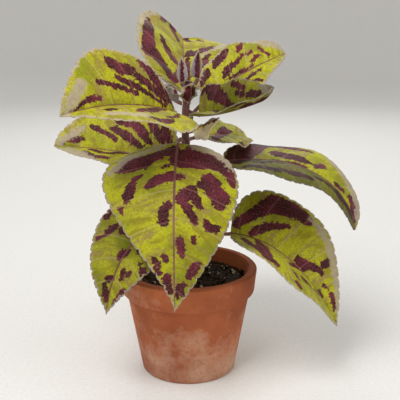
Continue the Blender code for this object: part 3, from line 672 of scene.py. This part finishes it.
def blade_surface(leaf, midrib, along, across, sign):
    """Points of the bent blade and its normals there, for places in its plane on one half.

    Each half leaves the rib at its fold plus half of the arch and bends down evenly to its
    margin, which waves by reach^1.5 sin(4 pi along / length + sign).
    """
    fold = np.radians(np.where(sign > 0, leaf.fold[0], leaf.fold[1]))
    reach = across / (leaf.width / 2)
    chord = fold - ARCH * (reach - 1) / 2
    tilt = fold - ARCH * (reach - 0.5)
    centre, side, up = midrib.at(along)
    lift = leaf.wave * reach ** 1.5 * np.sin(2 * WAVES * np.pi * along / leaf.length + sign)
    out = (across * np.cos(chord) * sign)[..., None] * side
    rise = (across * np.sin(chord) + lift)[..., None] * up
    normal = np.cos(tilt)[..., None] * up - (np.sin(tilt) * sign)[..., None] * side
    off_rib = smooth_step(across / RIB_BLEND)[..., None]
    normal = up * (1 - off_rib) + normal * off_rib
    return centre + out + rise, normal / np.linalg.norm(normal, axis=-1, keepdims=True)


def stroke_field(x, y, strokes):
    """How many millimetres a place lies inside the nearest stroke, and below 0 outside.

    Along each stretch of a stroke that is the half breadth, eased from end to end, less the
    distance to the stretch.
    """
    field = np.full(x.shape, -FAR)
    for stroke in strokes:
        for (x0, y0, r0), (x1, y1, r1) in zip(stroke, stroke[1:] or stroke):
            dx, dy = x1 - x0, y1 - y0
            share = np.clip(((x - x0) * dx + (y - y0) * dy) / max(dx * dx + dy * dy, MM), 0, 1)
            away = np.hypot(x - x0 - share * dx, y - y0 - share * dy)
            field = np.maximum(field, r0 + (r1 - r0) * share - away)
    return field


def fine_leaf(leaf, index):
    """A leaf as loops round its petiole and blade, upper face there and lower face back.

    The upper and the lower face lie half a thickness from the bent blade. Both are lifted by the
    quilting between the side veins, sin^2 of the vein count, lowered along the veins by a bell
    curve, and puckered by crossing sines. The midrib is half an ellipse on the lower face.
    """
    small = leaf.width < SMALL_WIDTH
    half = SMALL_HALF_COLUMNS if small else HALF_COLUMNS
    stations = np.linspace(0, 1, leaf.teeth * ROWS_PER_TOOTH + 1)
    even = np.linspace(-1, 1, 2 * half + 1)
    place = np.sign(even) * np.abs(even) ** RIB_CROWDING
    midrib = Midrib(leaf)
    radius = petiole_radius(leaf)
    out = np.abs(place)[None, :]
    sign = np.where(place < 0, -1.0, 1.0)[None, :] + 0 * stations[:, None]
    plans = [blade_plan(leaf, stations, np.abs(place), half_sign) for half_sign in (1.0, -1.0)]
    along, across, to_edge = (np.where(sign > 0, plus, minus) for plus, minus in zip(*plans))
    round_share = 1 - smooth_step(stations / NECK_SHARE)[:, None]
    across = across * (1 - round_share) + radius * np.sin(np.pi / 2 * np.abs(even)) * round_share
    middle, normal = blade_surface(leaf, midrib, along, across, sign)

    thick = (SMALL_BLADE if small else BLADE) / 2
    thick = thick * (1 - EDGE_THIN * smooth_step((out - 1 + EDGE_SHARE) / EDGE_SHARE))
    thick = thick * smooth_step(stations / BASE_SHARE)[:, None]
    rib_half = radius * (1 - RIB_TAPER * stations)[:, None]
    rib = np.sqrt(np.clip(1 - (across / rib_half) ** 2, 0, 1))
    above = rib * radius * (1 - smooth_step(stations / RIB_ABOVE_SHARE))[:, None]
    below = rib * np.minimum(radius, RIB_DEPTH) * (1 - stations)[:, None]
    below = np.maximum(below, rib * radius * round_share)

    rows = len(stations) - 1
    count = stations[:, None] * VEIN_PAIRS - 0.5
    count = count - np.where(sign < 0, VEIN_OFFSET * VEIN_PAIRS / rows, 0)
    spacing = np.gradient(along, axis=0) * rows / VEIN_PAIRS * VEIN_SLANT
    vein_gap = np.abs(count - np.round(count)) * np.maximum(spacing, MM)
    inner = smooth_step(out / FLAT_SHARE) * smooth_step((1 - out) / FLAT_SHARE)
    bell = np.exp(-(vein_gap / VALLEY_HALF) ** 2)
    relief = QUILT * np.sin(np.pi * count) ** 2 * inner - VALLEY * bell * inner
    waves = sum(np.sin(a * along + b * across * sign + c) for a, b, c in PUCKERS) / len(PUCKERS)
    relief = (relief + PUCKER * waves * inner) * (not small)
    raised = UNDER_VEIN * bell * inner * (not small)
    upper = middle + normal * (relief + thick + above)[..., None]
    lower = middle + normal * (relief - thick - below - raised)[..., None]

    loops = np.concatenate([upper, lower[:, ::-1]], axis=1)
    turn = np.concatenate([even, even[::-1]])
    rise = np.concatenate([np.cos(np.pi / 2 * even), -np.cos(np.pi / 2 * even)])
    stalk = leaf.petiole * (np.linspace(0, 1, PETIOLE_ROWS, endpoint=False) - 1)
    centre, side, up = midrib.at(stalk)
    ring = (side[:, None] * (np.sin(np.pi / 2 * turn) * radius)[None, :, None]
            + up[:, None] * (rise * radius)[None, :, None])
    azimuth = math.radians(leaf.leaves_at)
    outward = np.array([math.cos(azimuth), math.sin(azimuth), 0.0])
    ahead = np.cross(side[0], up[0])
    ring[0] -= ahead * ((ring[0] @ outward) / (ahead @ outward))[:, None]
    loops = np.concatenate([centre[:, None] + ring, loops])

    def both(blade, on_stalk):
        """Values of the blade on both faces, after the petiole's."""
        stalks = np.broadcast_to(on_stalk, (PETIOLE_ROWS, len(turn)))
        return np.concatenate([stalks, np.concatenate([blade, blade[:, ::-1]], axis=1)])

    x, y = along / MM, across * sign / MM
    flat_x = both(x, stalk[:, None] / MM)
    flat_y = both(y, np.sin(np.pi / 2 * turn) * radius / MM)
    run_x = both(stations[:, None] * leaf.length / MM + 0 * x, 0.0)
    apart = np.full_like(flat_x, LEAF_APART * index)
    rib_paint = np.abs(y) / (RIB_PAINT - RIB_PAINT_TAPER * x / leaf.length * MM)
    lower_face = np.zeros_like(flat_x)
    lower_face[PETIOLE_ROWS:, len(turn) // 2:] = not (small or leaf.bright_below)
    marks = {
        "flat": np.stack([flat_x, flat_y, apart], -1),
        "run": np.stack([run_x, flat_y * VEIN_SQUEEZE, apart], -1),
        "wine": both(stroke_field(x, y, WINE.get(leaf.name, ())), -FAR),
        "beige": both(stroke_field(x, y, BEIGE.get(leaf.name, ())), -FAR),
        "rim": both(to_edge / MM / leaf.rim, OFF_BLADE),
        "vein": both(vein_gap / MM + FAR * small, OFF_BLADE),
        "rib": both(rib_paint / (SMALL_RIB if small else 1.0), 0.0),
        "lower_face": lower_face,
        # Painted light and shade, one factor for each half.
        "painted_light_and_shade": np.where(flat_y > 0, *leaf.painted_light_and_shade),
        "young": np.full_like(flat_x, leaf.young),
    }
    return shell(leaf.name + "_blade", loops, marks)


def stem_surface():
    """The stem as rings: the rounded square that tapers, with furrows between its corners.

    The radius is the solids' less up to 0.3 mm (1 + cos 4 angle) / 2, so the middle of each side
    is a shallow groove, and the tip is closed by a quarter circle.
    """
    foot = SOIL_TOP - STEM_HOLE_DEPTH + GAP
    heights = np.concatenate([[foot], np.linspace(SOIL_TOP, STEM_TOP, STEM_ROWS)])
    angles = 2 * np.pi * np.arange(STEM_COLUMNS) / STEM_COLUMNS
    radius = stem_radius(heights[:, None], angles[None, :])
    groove = STEM_GROOVE * (1 + np.cos(4 * angles)) / 2 * np.minimum(1, radius / STEM_FOOT_HALF)
    radius = radius - groove
    dome = np.linspace(0, STEM_DOME_END, STEM_DOME_ROWS)[1:]
    radius = np.vstack([radius, radius[-1] * np.cos(dome)[:, None]])
    heights = np.concatenate([heights, STEM_TOP + STEM_TIP_RISE * np.sin(dome)])
    loops = rings(radius, heights, angles)
    loops[..., :2] += np.stack(stem_centre(heights), -1)[:, None]
    corner = np.broadcast_to((1 - np.cos(4 * angles)) / 2, radius.shape)
    swell = np.broadcast_to(node_swell(heights)[:, None], radius.shape)
    return shell("stem_skin", loops, {"corner": corner, "swell": swell})


def body_radius(height):
    """Outer radius of the pot's body: a straight taper from the foot to below the rim."""
    share = height / (POT_HEIGHT - RIM_HEIGHT)
    return BODY_FOOT_RADIUS + (BODY_TOP_RADIUS - BODY_FOOT_RADIUS) * share


def inner_radius(height):
    """The pot's inner radius, parallel to the body and carried on up through the rim."""
    return body_radius(height) - POT_WALL


def soil_height(x, y):
    """The soil's surface: a low mound round the stem, with lumps from a few crossing waves."""
    reach = np.hypot(x, y) / inner_radius(SOIL_TOP)
    lumps = sum(np.sin(a * x + b * y + c) for a, b, c in SOIL_WAVES) / len(SOIL_WAVES)
    return SOIL_TOP + SOIL_MOUND * (1 - reach ** 2) + SOIL_LUMP * lumps * (1 - reach ** 6)


def grain(x, y, cell):
    """Seeded bumps from -1 to 1 over a plane: random values on a square net, eased between."""
    size = SOIL_NET
    net = RANDOM.uniform(-1, 1, (size, size))
    across, deep = x / cell, y / cell
    column, row = np.floor(across).astype(int), np.floor(deep).astype(int)
    u, v = smooth_step(across - column), smooth_step(deep - row)
    here, right = net[row % size, column % size], net[row % size, (column + 1) % size]
    over, corner = net[(row + 1) % size, column % size], net[(row + 1) % size, (column + 1) % size]
    return (here * (1 - u) + right * u) * (1 - v) + (over * (1 - u) + corner * u) * v


def soil_surface():
    """The soil as rings: underside, wall, crumbly top and the wall of the stem's hole.

    The top is the solids' mound plus three sizes of bumps, which fade out at the wall and the hole.
    """
    angles = 2 * np.pi * np.arange(SOIL_COLUMNS) / SOIL_COLUMNS
    foot = POT_FLOOR + GAP
    bevel = foot + SOIL_BEVEL
    wall = inner_radius(SOIL_TOP) - GAP
    hole = stem_radius(SOIL_TOP, angles) + GAP
    shares = np.linspace(1, 0, SOIL_ROWS)[:, None]
    radius = hole + (wall - hole) * shares
    x, y = radius * np.cos(angles), radius * np.sin(angles)
    crumble = sum(height * grain(x, y, cell) for cell, height in SOIL_BUMPS)
    inside = smooth_step((1 - shares) / SOIL_WALL_SHARE) * smooth_step(shares / SOIL_HOLE_SHARE)
    top = np.stack([x, y, soil_height(x, y) + crumble * inside], -1)
    under = np.array([[inner_radius(foot) - SOIL_BEVEL - GAP], [inner_radius(bevel) - GAP]])
    under = rings(under, np.array([foot, bevel]), angles)
    hole_foot = rings(hole, np.array([SOIL_TOP - STEM_HOLE_DEPTH]), angles)
    return shell("soil_bed", np.concatenate([under, top, hole_foot]))


def scattered(name, count, sizes):
    """Angular bits lying on the soil: twenty-sided balls, stretched, turned and dented at random."""
    golden = (1 + math.sqrt(5)) / 2
    corners = np.array([(-1, golden, 0), (1, golden, 0), (-1, -golden, 0), (1, -golden, 0)])
    corners = np.concatenate([np.roll(corners, k, axis=1) for k in range(3)])
    corners /= np.linalg.norm(corners[0])
    faces = ((0, 11, 5), (0, 5, 1), (0, 1, 7), (0, 7, 10), (0, 10, 11), (1, 5, 9), (5, 11, 4),
             (11, 10, 2), (10, 7, 6), (7, 1, 8), (3, 9, 4), (3, 4, 2), (3, 2, 6), (3, 6, 8),
             (3, 8, 9), (4, 9, 5), (2, 4, 11), (6, 2, 10), (8, 6, 7), (9, 8, 1))
    reach = np.sqrt(RANDOM.uniform(*np.square(SOIL_REACH), count))
    turn = RANDOM.uniform(0, 2 * np.pi, count)
    size = sizes[0] + (sizes[1] - sizes[0]) * RANDOM.uniform(0, 1, count) ** 2
    x, y = reach * np.cos(turn), reach * np.sin(turn)
    centres = np.stack([x, y, soil_height(x, y) + size * BIT_RISE], -1)
    stretch = RANDOM.uniform(*BIT_STRETCH, (count, 1, 3))
    dents = RANDOM.uniform(*BIT_DENTS, (count, len(corners), 1))
    yaw, tip = RANDOM.uniform(0, 2 * np.pi, (2, count))
    cos_yaw, sin_yaw, cos_tip, sin_tip = np.cos(yaw), np.sin(yaw), np.cos(tip), np.sin(tip)
    spin = np.stack([cos_yaw, -sin_yaw * cos_tip, sin_yaw * sin_tip,
                     sin_yaw, cos_yaw * cos_tip, -cos_yaw * sin_tip,
                     0 * yaw, sin_tip, cos_tip], -1).reshape(-1, 3, 3)
    shapes = corners * stretch * dents * size[:, None, None] / 2
    return copies(name, centres[:, None] + np.einsum("nij,nkj->nki", spin, shapes), faces)


def hairs(name, roots, outward, lengths):
    """Fine hairs: three-sided cones, bent to one side, one for each root and outward direction."""
    outward = outward / np.linalg.norm(outward, axis=1, keepdims=True)
    aside = np.cross(outward, RANDOM.normal(size=outward.shape))
    aside /= np.linalg.norm(aside, axis=1, keepdims=True)
    third = np.cross(outward, aside)
    around = (2 * np.pi * np.arange(3) / 3)[None, :, None]
    ring = aside[:, None] * np.cos(around) + third[:, None] * np.sin(around)
    length = lengths[:, None]
    middle = roots + outward * length / 2 + aside * length * HAIR_SAG * HAIR_MIDDLE_SAG
    tips = roots + outward * length + aside * length * HAIR_SAG
    points = np.concatenate([(roots - outward * HAIR_HALF)[:, None] + ring * HAIR_HALF,
                             middle[:, None] + ring * HAIR_HALF * HAIR_TAPER, tips[:, None]], axis=1)
    mesh = copies(name, points, ((0, 1, 4), (0, 4, 3), (1, 2, 5), (1, 5, 4), (2, 0, 3), (2, 3, 5),
                                 (3, 4, 6), (4, 5, 6), (5, 3, 6), (2, 1, 0)))
    mesh.shade_smooth()
    return mesh


def hair_roots(mesh, count):
    """Random places on a mesh's faces above where hairs start: points and their normals."""
    centres, normals = np.empty((2, len(mesh.polygons) * 3))
    mesh.polygons.foreach_get("center", centres)
    mesh.polygons.foreach_get("normal", normals)
    centres, normals = centres.reshape(-1, 3), normals.reshape(-1, 3)
    fit = np.flatnonzero(centres[:, 2] > HAIRS_ABOVE)
    chosen = RANDOM.choice(fit, min(count, len(fit)), replace=False)
    return centres[chosen], normals[chosen]


def linear(code):
    """The linear colour of an sRGB hex value."""
    channels = [int(code[k:k + 2], 16) / 255 for k in (1, 3, 5)]
    return tuple(c / 12.92 if c <= 0.04045 else ((c + 0.055) / 1.055) ** 2.4 for c in channels) + (1.0,)


def add_node(tree, kind, inputs, give=0, **settings):
    """Adds a node with its settings and its inputs, by name or in order, and returns one output.

    An input is a socket to link, a hex colour or another value.
    """
    node = tree.nodes.new("ShaderNode" + kind)
    for setting, value in settings.items():
        setattr(node, setting, value)
    for key, value in inputs.items() if isinstance(inputs, dict) else enumerate(inputs):
        if isinstance(value, bpy.types.NodeSocket):
            tree.links.new(value, node.inputs[key])
        else:
            node.inputs[key].default_value = linear(value) if isinstance(value, str) else value
    return node.outputs[give]


def material(name, constants):
    """A material whose shader's sockets get the constants, and what adds a node to it.

    A pattern's scale is 1 over the real size of what it draws: in millimetres on the leaves, whose
    marks are in millimetres, and in metres elsewhere, so that 700 there draws grit of 1.4 mm.
    """
    made = bpy.data.materials.new(name)
    made.use_nodes = True
    for key, value in constants.items():
        made.node_tree.nodes["Principled BSDF"].inputs[key].default_value = value
    return made, partial(add_node, made.node_tree)


def coat(made, colour, rough, height=None, strength=0.0, depth=0.0):
    """Gives the material a colour, a roughness and, where it has a height, a bump of that depth."""
    tree = made.node_tree
    sockets = {"Base Color": colour, "Roughness": rough}
    if height is not None:
        relief = {"Strength": strength, "Distance": depth, "Height": height}
        sockets["Normal"] = add_node(tree, "Bump", relief)
    for key, socket in sockets.items():
        tree.links.new(socket, tree.nodes["Principled BSDF"].inputs[key])
    return made


def coleus_leaf():
    """A live coleus leaf: thin, quilted between its veins and softly hairy.

    That gives the eye a broad soft gloss on bright lime, wine blotches that end in small steps
    along the finest veins, mauve ribs, a pale toothed rim and a duller lower face. Each half's colour
    also carries painted shade or painted light, a factor of its own.
    """
    made, add = material("coleus leaf, live", {"IOR": 1.40, "Specular IOR Level": 0.22})
    places = {mark: add("Attribute", {}, "Vector", attribute_name=mark) for mark in ("flat", "run")}
    flat, run = places["flat"], places["run"]
    wine, beige, rim, vein, rib, lower_face, painted_light_and_shade, young = (
        add("Attribute", {}, "Fac", attribute_name=mark)
        for mark in ("wine", "beige", "rim", "vein", "rib", "lower_face", "painted_light_and_shade", "young"))

    # A wine mark ends in steps of whole cells of the finest veins, 1.5 mm across and bent over
    # 2 mm, and frays along the side veins in tongues of 1.3 by 6 mm.
    drift = add("TexNoise", {"Vector": flat, "Scale": 0.5, "Detail": 2.0}, "Color")
    bent = add("VectorMath", (drift, (1.8, 1.8, 1.8), flat), operation="MULTIPLY_ADD")
    cells = {"Vector": bent, "Scale": CELLS_PER_MM}
    edge = add("TexVoronoi", cells, "Distance", feature="DISTANCE_TO_EDGE")
    cell = add("TexVoronoi", cells, "Color")
    chance, other = (add("SeparateColor", (cell,), channel) for channel in ("Red", "Green"))
    fray = add("TexNoise", {"Vector": run, "Scale": 0.8, "Detail": 4.0})
    step = add("Math", (chance, 5.0), operation="POWER")
    step = add("Math", (step, 1.4, -1.5), operation="MULTIPLY_ADD")
    step = add("Math", (fray, 3.8, step), operation="MULTIPLY_ADD")
    inside = add("Math", (wine, step), operation="ADD")
    blotch = add("MapRange", (inside, -0.35, 0.35), interpolation_type="SMOOTHSTEP")

    # The ground: lime with the patches.
    colour = LIME
    for place, scale, detail, rough, twist, broken, start, full, most, tone in PATCHES:
        noise = add("TexNoise", {"Vector": places[place], "Scale": scale, "Detail": detail,
                                 "Roughness": rough, "Distortion": twist})
        noise = add("Math", (other, broken, noise), operation="MULTIPLY_ADD")
        share = add("MapRange", (noise, start, full, 0.0, most))
        colour = add("Mix", {0: share, 6: colour, 7: tone}, 2, data_type="RGBA")
    # Dark olive along the finest veins, which are also the creases between the bulging cells: partly
    # the veins' own colour and partly painted shade in those creases.
    olive_net_and_crease_shade = add("MapRange", (edge, 0.0, 0.10, 0.40, 0.0), interpolation_type="SMOOTHSTEP")

    # Wine, nearly black and purple in clouds of 11 mm, with pinkish fine veins.
    deep = add("TexNoise", {"Vector": flat, "Scale": 0.09, "Detail": 4.0})
    purple = add("MapRange", (deep, 0.42, 0.66))
    pink_seam = add("MapRange", (edge, 0.0, 0.08, 0.5, 0.0), interpolation_type="SMOOTHSTEP")
    dark = WINE_DARK
    for share, tone in ((purple, WINE_PURPLE), (pink_seam, MAUVE)):
        dark = add("Mix", {0: share, 6: dark, 7: tone}, 2, data_type="RGBA")

    # Side veins and the midrib.
    vein_share = add("MapRange", (vein, 0.15, 0.55, 0.5, 0.0), interpolation_type="SMOOTHSTEP")
    vein_tone = add("Mix", {0: blotch, 6: VEIN_PALE, 7: MAUVE}, 2, data_type="RGBA")
    rib_edge = add("Math", (fray, 0.6, rib), operation="MULTIPLY_ADD")
    rib_share = add("MapRange", (rib_edge, 0.9, 1.35, 0.92, 0.0), interpolation_type="SMOOTHSTEP")
    rib_tone = add("Mix", {0: purple, 6: MAUVE, 7: MAUVE_DEEP}, 2, data_type="RGBA")

    # Pale places: strokes from the margin, and the rim that steps in from tooth to tooth.
    pale_edge = add("Math", (chance, 2.4, beige), operation="MULTIPLY_ADD")
    pale_edge = add("Math", (fray, 3.0, pale_edge), operation="MULTIPLY_ADD")
    pale = add("MapRange", (pale_edge, 2.2, 3.4, 0.0, 0.85))
    rim_edge = add("Math", (other, 0.9, rim), operation="MULTIPLY_ADD")
    rim_share = add("MapRange", (rim_edge, 1.15, 1.40, 0.9, 0.0))
    pale = add("Math", (pale, rim_share), operation="MAXIMUM")
    pale_tone = add("Mix", {0: chance, 6: BEIGE_GREY, 7: BEIGE_WARM}, 2, data_type="RGBA")

    # The lower face is dusty and paler. The gloss changes over 3 mm, as between the quilts.
    dull = add("Math", (lower_face, 0.5), operation="MULTIPLY")
    for share, tone in ((olive_net_and_crease_shade, OLIVE), (young, YOUNG_MAUVE), (blotch, dark), (vein_share, vein_tone),
                        (rib_share, rib_tone), (pale, pale_tone), (dull, LOWER_FACE)):
        colour = add("Mix", {0: share, 6: colour, 7: tone}, 2, data_type="RGBA")
    # Painted shade and painted light: each half's colour is multiplied by its own factor.
    colour = add("Mix", {0: 1.0, 6: colour, 7: painted_light_and_shade}, 2, data_type="RGBA", blend_type="MULTIPLY")
    gloss = add("TexNoise", {"Vector": flat, "Scale": 0.3, "Detail": 3.0})
    rough = add("MapRange", (gloss, 0.3, 0.7, 0.48, 0.64))

    # Every cell of the finest veins bulges by about 0.1 mm. The grain of a real leaf's skin, about
    # 0.05 mm, is too fine to show and is drawn at 0.3 mm.
    bulge = add("MapRange", (edge, 0.0, 0.35), interpolation_type="SMOOTHSTEP")
    skin = add("TexNoise", {"Vector": flat, "Scale": 3.0, "Detail": 2.0})
    height = add("Math", (skin, 0.25, bulge), operation="MULTIPLY_ADD")
    return coat(made, colour, rough, height, 0.6, 0.00018)


def coleus_stem():
    """A live coleus stem: square, watery, flushed purple, its corners greener and its nodes darker.

    That gives the eye a soft wet-looking gloss, a flush that changes over 11 mm and fine streaks
    along the stem. Real streaks, about 0.1 mm wide, are too fine to show and are drawn 0.7 mm wide
    and 8 mm long.
    """
    made, add = material("coleus stem, live", {"IOR": 1.42, "Sheen Weight": 0.1})
    place = add("TexCoord", {}, "Object")
    corner, swell = (add("Attribute", {}, "Fac", attribute_name=mark) for mark in ("corner", "swell"))
    along = add("Mapping", {"Vector": place, "Scale": (1400.0, 1400.0, 120.0)})
    streak = add("TexNoise", {"Vector": along, "Scale": 1.0, "Detail": 3.0})
    flush = add("TexNoise", {"Vector": place, "Scale": 90.0, "Detail": 2.0})
    green = add("Math", (corner, 0.35, flush), operation="MULTIPLY_ADD")
    green = add("MapRange", (green, 0.45, 0.95))
    fine = add("MapRange", (streak, 0.45, 0.75, 0.0, 0.5))
    ring = add("Math", (swell, 0.45), operation="MULTIPLY")
    colour = STEM_MAUVE
    for share, tone in ((green, STEM_GREEN), (fine, MAUVE), (ring, WINE_PURPLE)):
        colour = add("Mix", {0: share, 6: colour, 7: tone}, 2, data_type="RGBA")
    rough = add("MapRange", (streak, 0.3, 0.7, 0.40, 0.55))
    return coat(made, colour, rough, streak, 0.4, 0.0002)


def terracotta():
    """Thrown earthenware fired without a glaze: dry, matt, faintly ringed by the throwing.

    That gives the eye an orange brown in firing clouds of 36 mm, with paler salt bloom of 22 mm,
    most of it low down, and rings 1 mm apart. Real grit and sand, under half a millimetre, are too
    fine to show and are drawn at 1.4 and 0.7 mm.
    """
    made, add = material("terracotta, unglazed", {"IOR": 1.5, "Specular IOR Level": 0.3})
    place = add("TexCoord", {}, "Object")
    fire = add("TexNoise", {"Vector": place, "Scale": 28.0, "Detail": 4.0})
    fired = add("MapRange", (fire, 0.35, 0.65))
    cloud = add("TexNoise", {"Vector": place, "Scale": 45.0, "Detail": 6.0, "Roughness": 0.7})
    height = add("SeparateXYZ", (place,), "Z")
    low = add("MapRange", (height, 0.0, 0.045, 0.22, 0.0))
    bloom = add("Math", (cloud, low), operation="ADD")
    bloom = add("MapRange", (bloom, 0.52, 0.80, 0.0, 0.65))
    grit = add("TexVoronoi", {"Vector": place, "Scale": 700.0}, "Color")
    grit = add("SeparateColor", (grit,), "Red")
    fleck = add("MapRange", (grit, 0.90, 0.96, 0.0, 0.35))
    colour = CLAY_DEEP
    for share, tone in ((fired, CLAY), (bloom, CLAY_BLOOM), (fleck, CLAY_DEEP)):
        colour = add("Mix", {0: share, 6: colour, 7: tone}, 2, data_type="RGBA")
    rough = add("MapRange", (cloud, 0.3, 0.7, 0.78, 0.95))
    rings = add("TexWave", {"Vector": place, "Scale": 300.0, "Distortion": 1.5, "Detail": 2.0,
                            "Detail Scale": 0.2}, bands_direction="Z")
    sand = add("TexNoise", {"Vector": place, "Scale": 1500.0, "Detail": 3.0})
    relief = add("Math", (rings, 0.35, sand), operation="MULTIPLY_ADD")
    return coat(made, colour, rough, relief, 0.35, 0.00035)


def peat():
    """Damp peat potting soil, milled and sieved: crumbs of 1 to 4 mm with short fibres.

    That gives the eye nearly black brown with lighter dry crumbs of 2 mm, damper over 17 mm, and
    no gloss. The fibres, about 0.2 mm thick, are too fine to show and are drawn as 1 mm bumps.
    """
    made, add = material("peat soil, damp", {"Specular IOR Level": 0.25})
    place = add("TexCoord", {}, "Object")
    crumb = add("TexVoronoi", {"Vector": place, "Scale": 520.0}, "Color")
    crumb = add("SeparateColor", (crumb,), "Red")
    damp = add("TexNoise", {"Vector": place, "Scale": 60.0, "Detail": 3.0})
    dry = add("Math", (crumb, 0.5, damp), operation="MULTIPLY_ADD")
    dry = add("MapRange", (dry, 0.45, 1.1))
    colour = add("Mix", {0: dry, 6: PEAT_WET, 7: PEAT_DRY}, 2, data_type="RGBA")
    rough = add("MapRange", (damp, 0.3, 0.7, 0.75, 0.97))
    fine = add("TexNoise", {"Vector": place, "Scale": 900.0, "Detail": 4.0, "Roughness": 0.7})
    return coat(made, colour, rough, fine, 0.8, 0.0006)


def two_toned(name, constants, noise, spread, tones, roughness, *relief):
    """A material whose one noise mixes its two tones and sets its roughness and any relief."""
    made, add = material(name, constants)
    place = add("TexCoord", {}, "Object")
    pattern = add("TexNoise", {"Vector": place, **noise})
    share = add("MapRange", (pattern, *spread))
    colour = add("Mix", {0: share, 6: tones[0], 7: tones[1]}, 2, data_type="RGBA")
    rough = add("MapRange", (pattern, 0.0, 1.0, *roughness))
    return coat(made, colour, rough, pattern if relief else None, *relief)


def perlite():
    """Perlite, volcanic glass popped by heat: chalky white foam bits with pits.

    Real pits, about 0.2 mm across, are too fine to show, so these are drawn at 0.8 mm.
    """
    return two_toned("perlite", {"Specular IOR Level": 0.3}, {"Scale": 1200.0, "Detail": 3.0},
                     (0.35, 0.65), (PERLITE_GREY, PERLITE_WHITE), (0.7, 0.95), 0.6, 0.0003)


def leaf_hair():
    """Fine hair of a live coleus: colourless and thin, so it shows as a pale glint.

    Real ones are about 0.03 mm thick, too fine to show, so these are drawn at 0.1 mm. Their tint
    changes over 2.5 mm, from hair to hair.
    """
    return two_toned("coleus hair", {"IOR": 1.45}, {"Scale": 400.0},
                     (0.35, 0.65), (HAIR_WHITE, HAIR_MAUVE), (0.35, 0.55))


def pale_paper():
    """Matt white paper for the floor: pressed and uncoated, so it is plain and has no gloss.

    Its fibres, about 0.03 mm thick, are too fine to show and are drawn as faint 2.5 mm clouds.
    """
    return two_toned("paper, matt", {"Specular IOR Level": 0.2}, {"Scale": 400.0, "Detail": 3.0},
                     (0.3, 0.7), (PAPER_LOW, PAPER_HIGH), (0.8, 0.95))


def dress_plant():
    """Makes all leaves, the stem, the soil and the pot's smooth copy, and the small bits on them."""
    leaf, earth, hair = coleus_leaf(), peat(), leaf_hair()
    meshes = {}
    for index, sort in enumerate(LEAVES):
        meshes[sort.name] = fine_leaf(sort, index)
        piece(sort.name + "_blade", meshes[sort.name], leaf, "leaf_blade", sort.name)
    meshes["stem"] = stem_surface()
    piece("stem_skin", meshes["stem"], coleus_stem(), "green_stem", "stem")
    piece("soil_bed", soil_surface(), earth, "potting_soil", "soil")
    crumbs = scattered("soil_crumbs", CRUMBS, CRUMB_SIZES)
    piece("soil_crumbs", crumbs, earth, "potting_soil")
    bits = scattered("perlite_bits", PERLITES, PERLITE_SIZES)
    piece("perlite_bits", bits, perlite(), "potting_soil")

    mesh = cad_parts["pot"].data.copy()
    mesh.name = "pot_skin"
    mesh.materials.clear()
    shape = bmesh.new()
    shape.from_mesh(mesh)
    bmesh.ops.remove_doubles(shape, verts=shape.verts, dist=MERGED)
    for edge in shape.edges:
        edge.smooth = len(edge.link_faces) == 2 and edge.calc_face_angle(0.0) < SHARP
    shape.to_mesh(mesh)
    shape.free()
    mesh.shade_smooth()
    piece("pot_skin", mesh, terracotta(), "terracotta", "pot")

    for name, count, shortest, longest in HAIRY:
        roots, outward = hair_roots(meshes[name], count)
        lengths = RANDOM.uniform(shortest, longest, len(roots))
        piece(name + "_hairs", hairs(name + "_hairs", roots, outward, lengths), hair, "leaf_blade")


def set_up_studio():
    """A plain pale floor that bends up to a round wall, soft lights and the photograph's camera."""
    turn = np.linspace(0, np.pi / 2, DISH_BEND_ROWS)
    radius = np.concatenate([[MM], DISH_FLAT + DISH_BEND * np.sin(turn), [DISH_FLAT + DISH_BEND]])
    height = np.concatenate([[0.0], DISH_BEND * (1 - np.cos(turn)), [DISH_WALL]])
    around = 2 * np.pi * np.arange(DISH_SIDES) / DISH_SIDES
    ids, sides = bands(len(radius), DISH_SIDES)
    faces = [ids[0].tolist()] + sides[:, ::-1].tolist()
    mesh = new_mesh("floor", rings(radius[:, None], height, around), faces)
    mesh.shade_smooth()
    mesh.materials.append(pale_paper())
    floor = bpy.data.objects.new("floor", mesh)

    camera = bpy.data.objects.new("camera", bpy.data.cameras.new("camera"))
    ahead = Vector((0.0, math.cos(CAMERA_PITCH), -math.sin(CAMERA_PITCH)))
    camera.location = CAMERA_TARGET - ahead * CAMERA_AWAY
    camera.rotation_euler = ahead.to_track_quat("-Z", "Y").to_euler()
    camera.data.lens = CAMERA_LENS
    camera.data.clip_start = CAMERA_CLIP

    placed = [floor, camera]
    for number, (place, target, side, watts) in enumerate(LIGHTS):
        lamp = bpy.data.lights.new(f"light_{number}", "AREA")
        lamp.shape = "SQUARE"
        lamp.size = side
        lamp.energy = watts
        holder = bpy.data.objects.new(f"light_{number}", lamp)
        holder.location = place
        holder.rotation_euler = (Vector(target) - Vector(place)).to_track_quat("-Z", "Y").to_euler()
        placed.append(holder)

    world = bpy.data.worlds.new("studio")
    world.use_nodes = True
    background = world.node_tree.nodes["Background"]
    background.inputs["Color"].default_value = linear(WORLD_GREY)
    background.inputs["Strength"].default_value = WORLD_POWER
    scene = bpy.context.scene
    scene.world = world
    scene.view_settings.view_transform = "Standard"
    for thing in placed:
        scene.collection.objects.link(thing)
    scene.camera = camera


set_up_studio()
dress_plant()
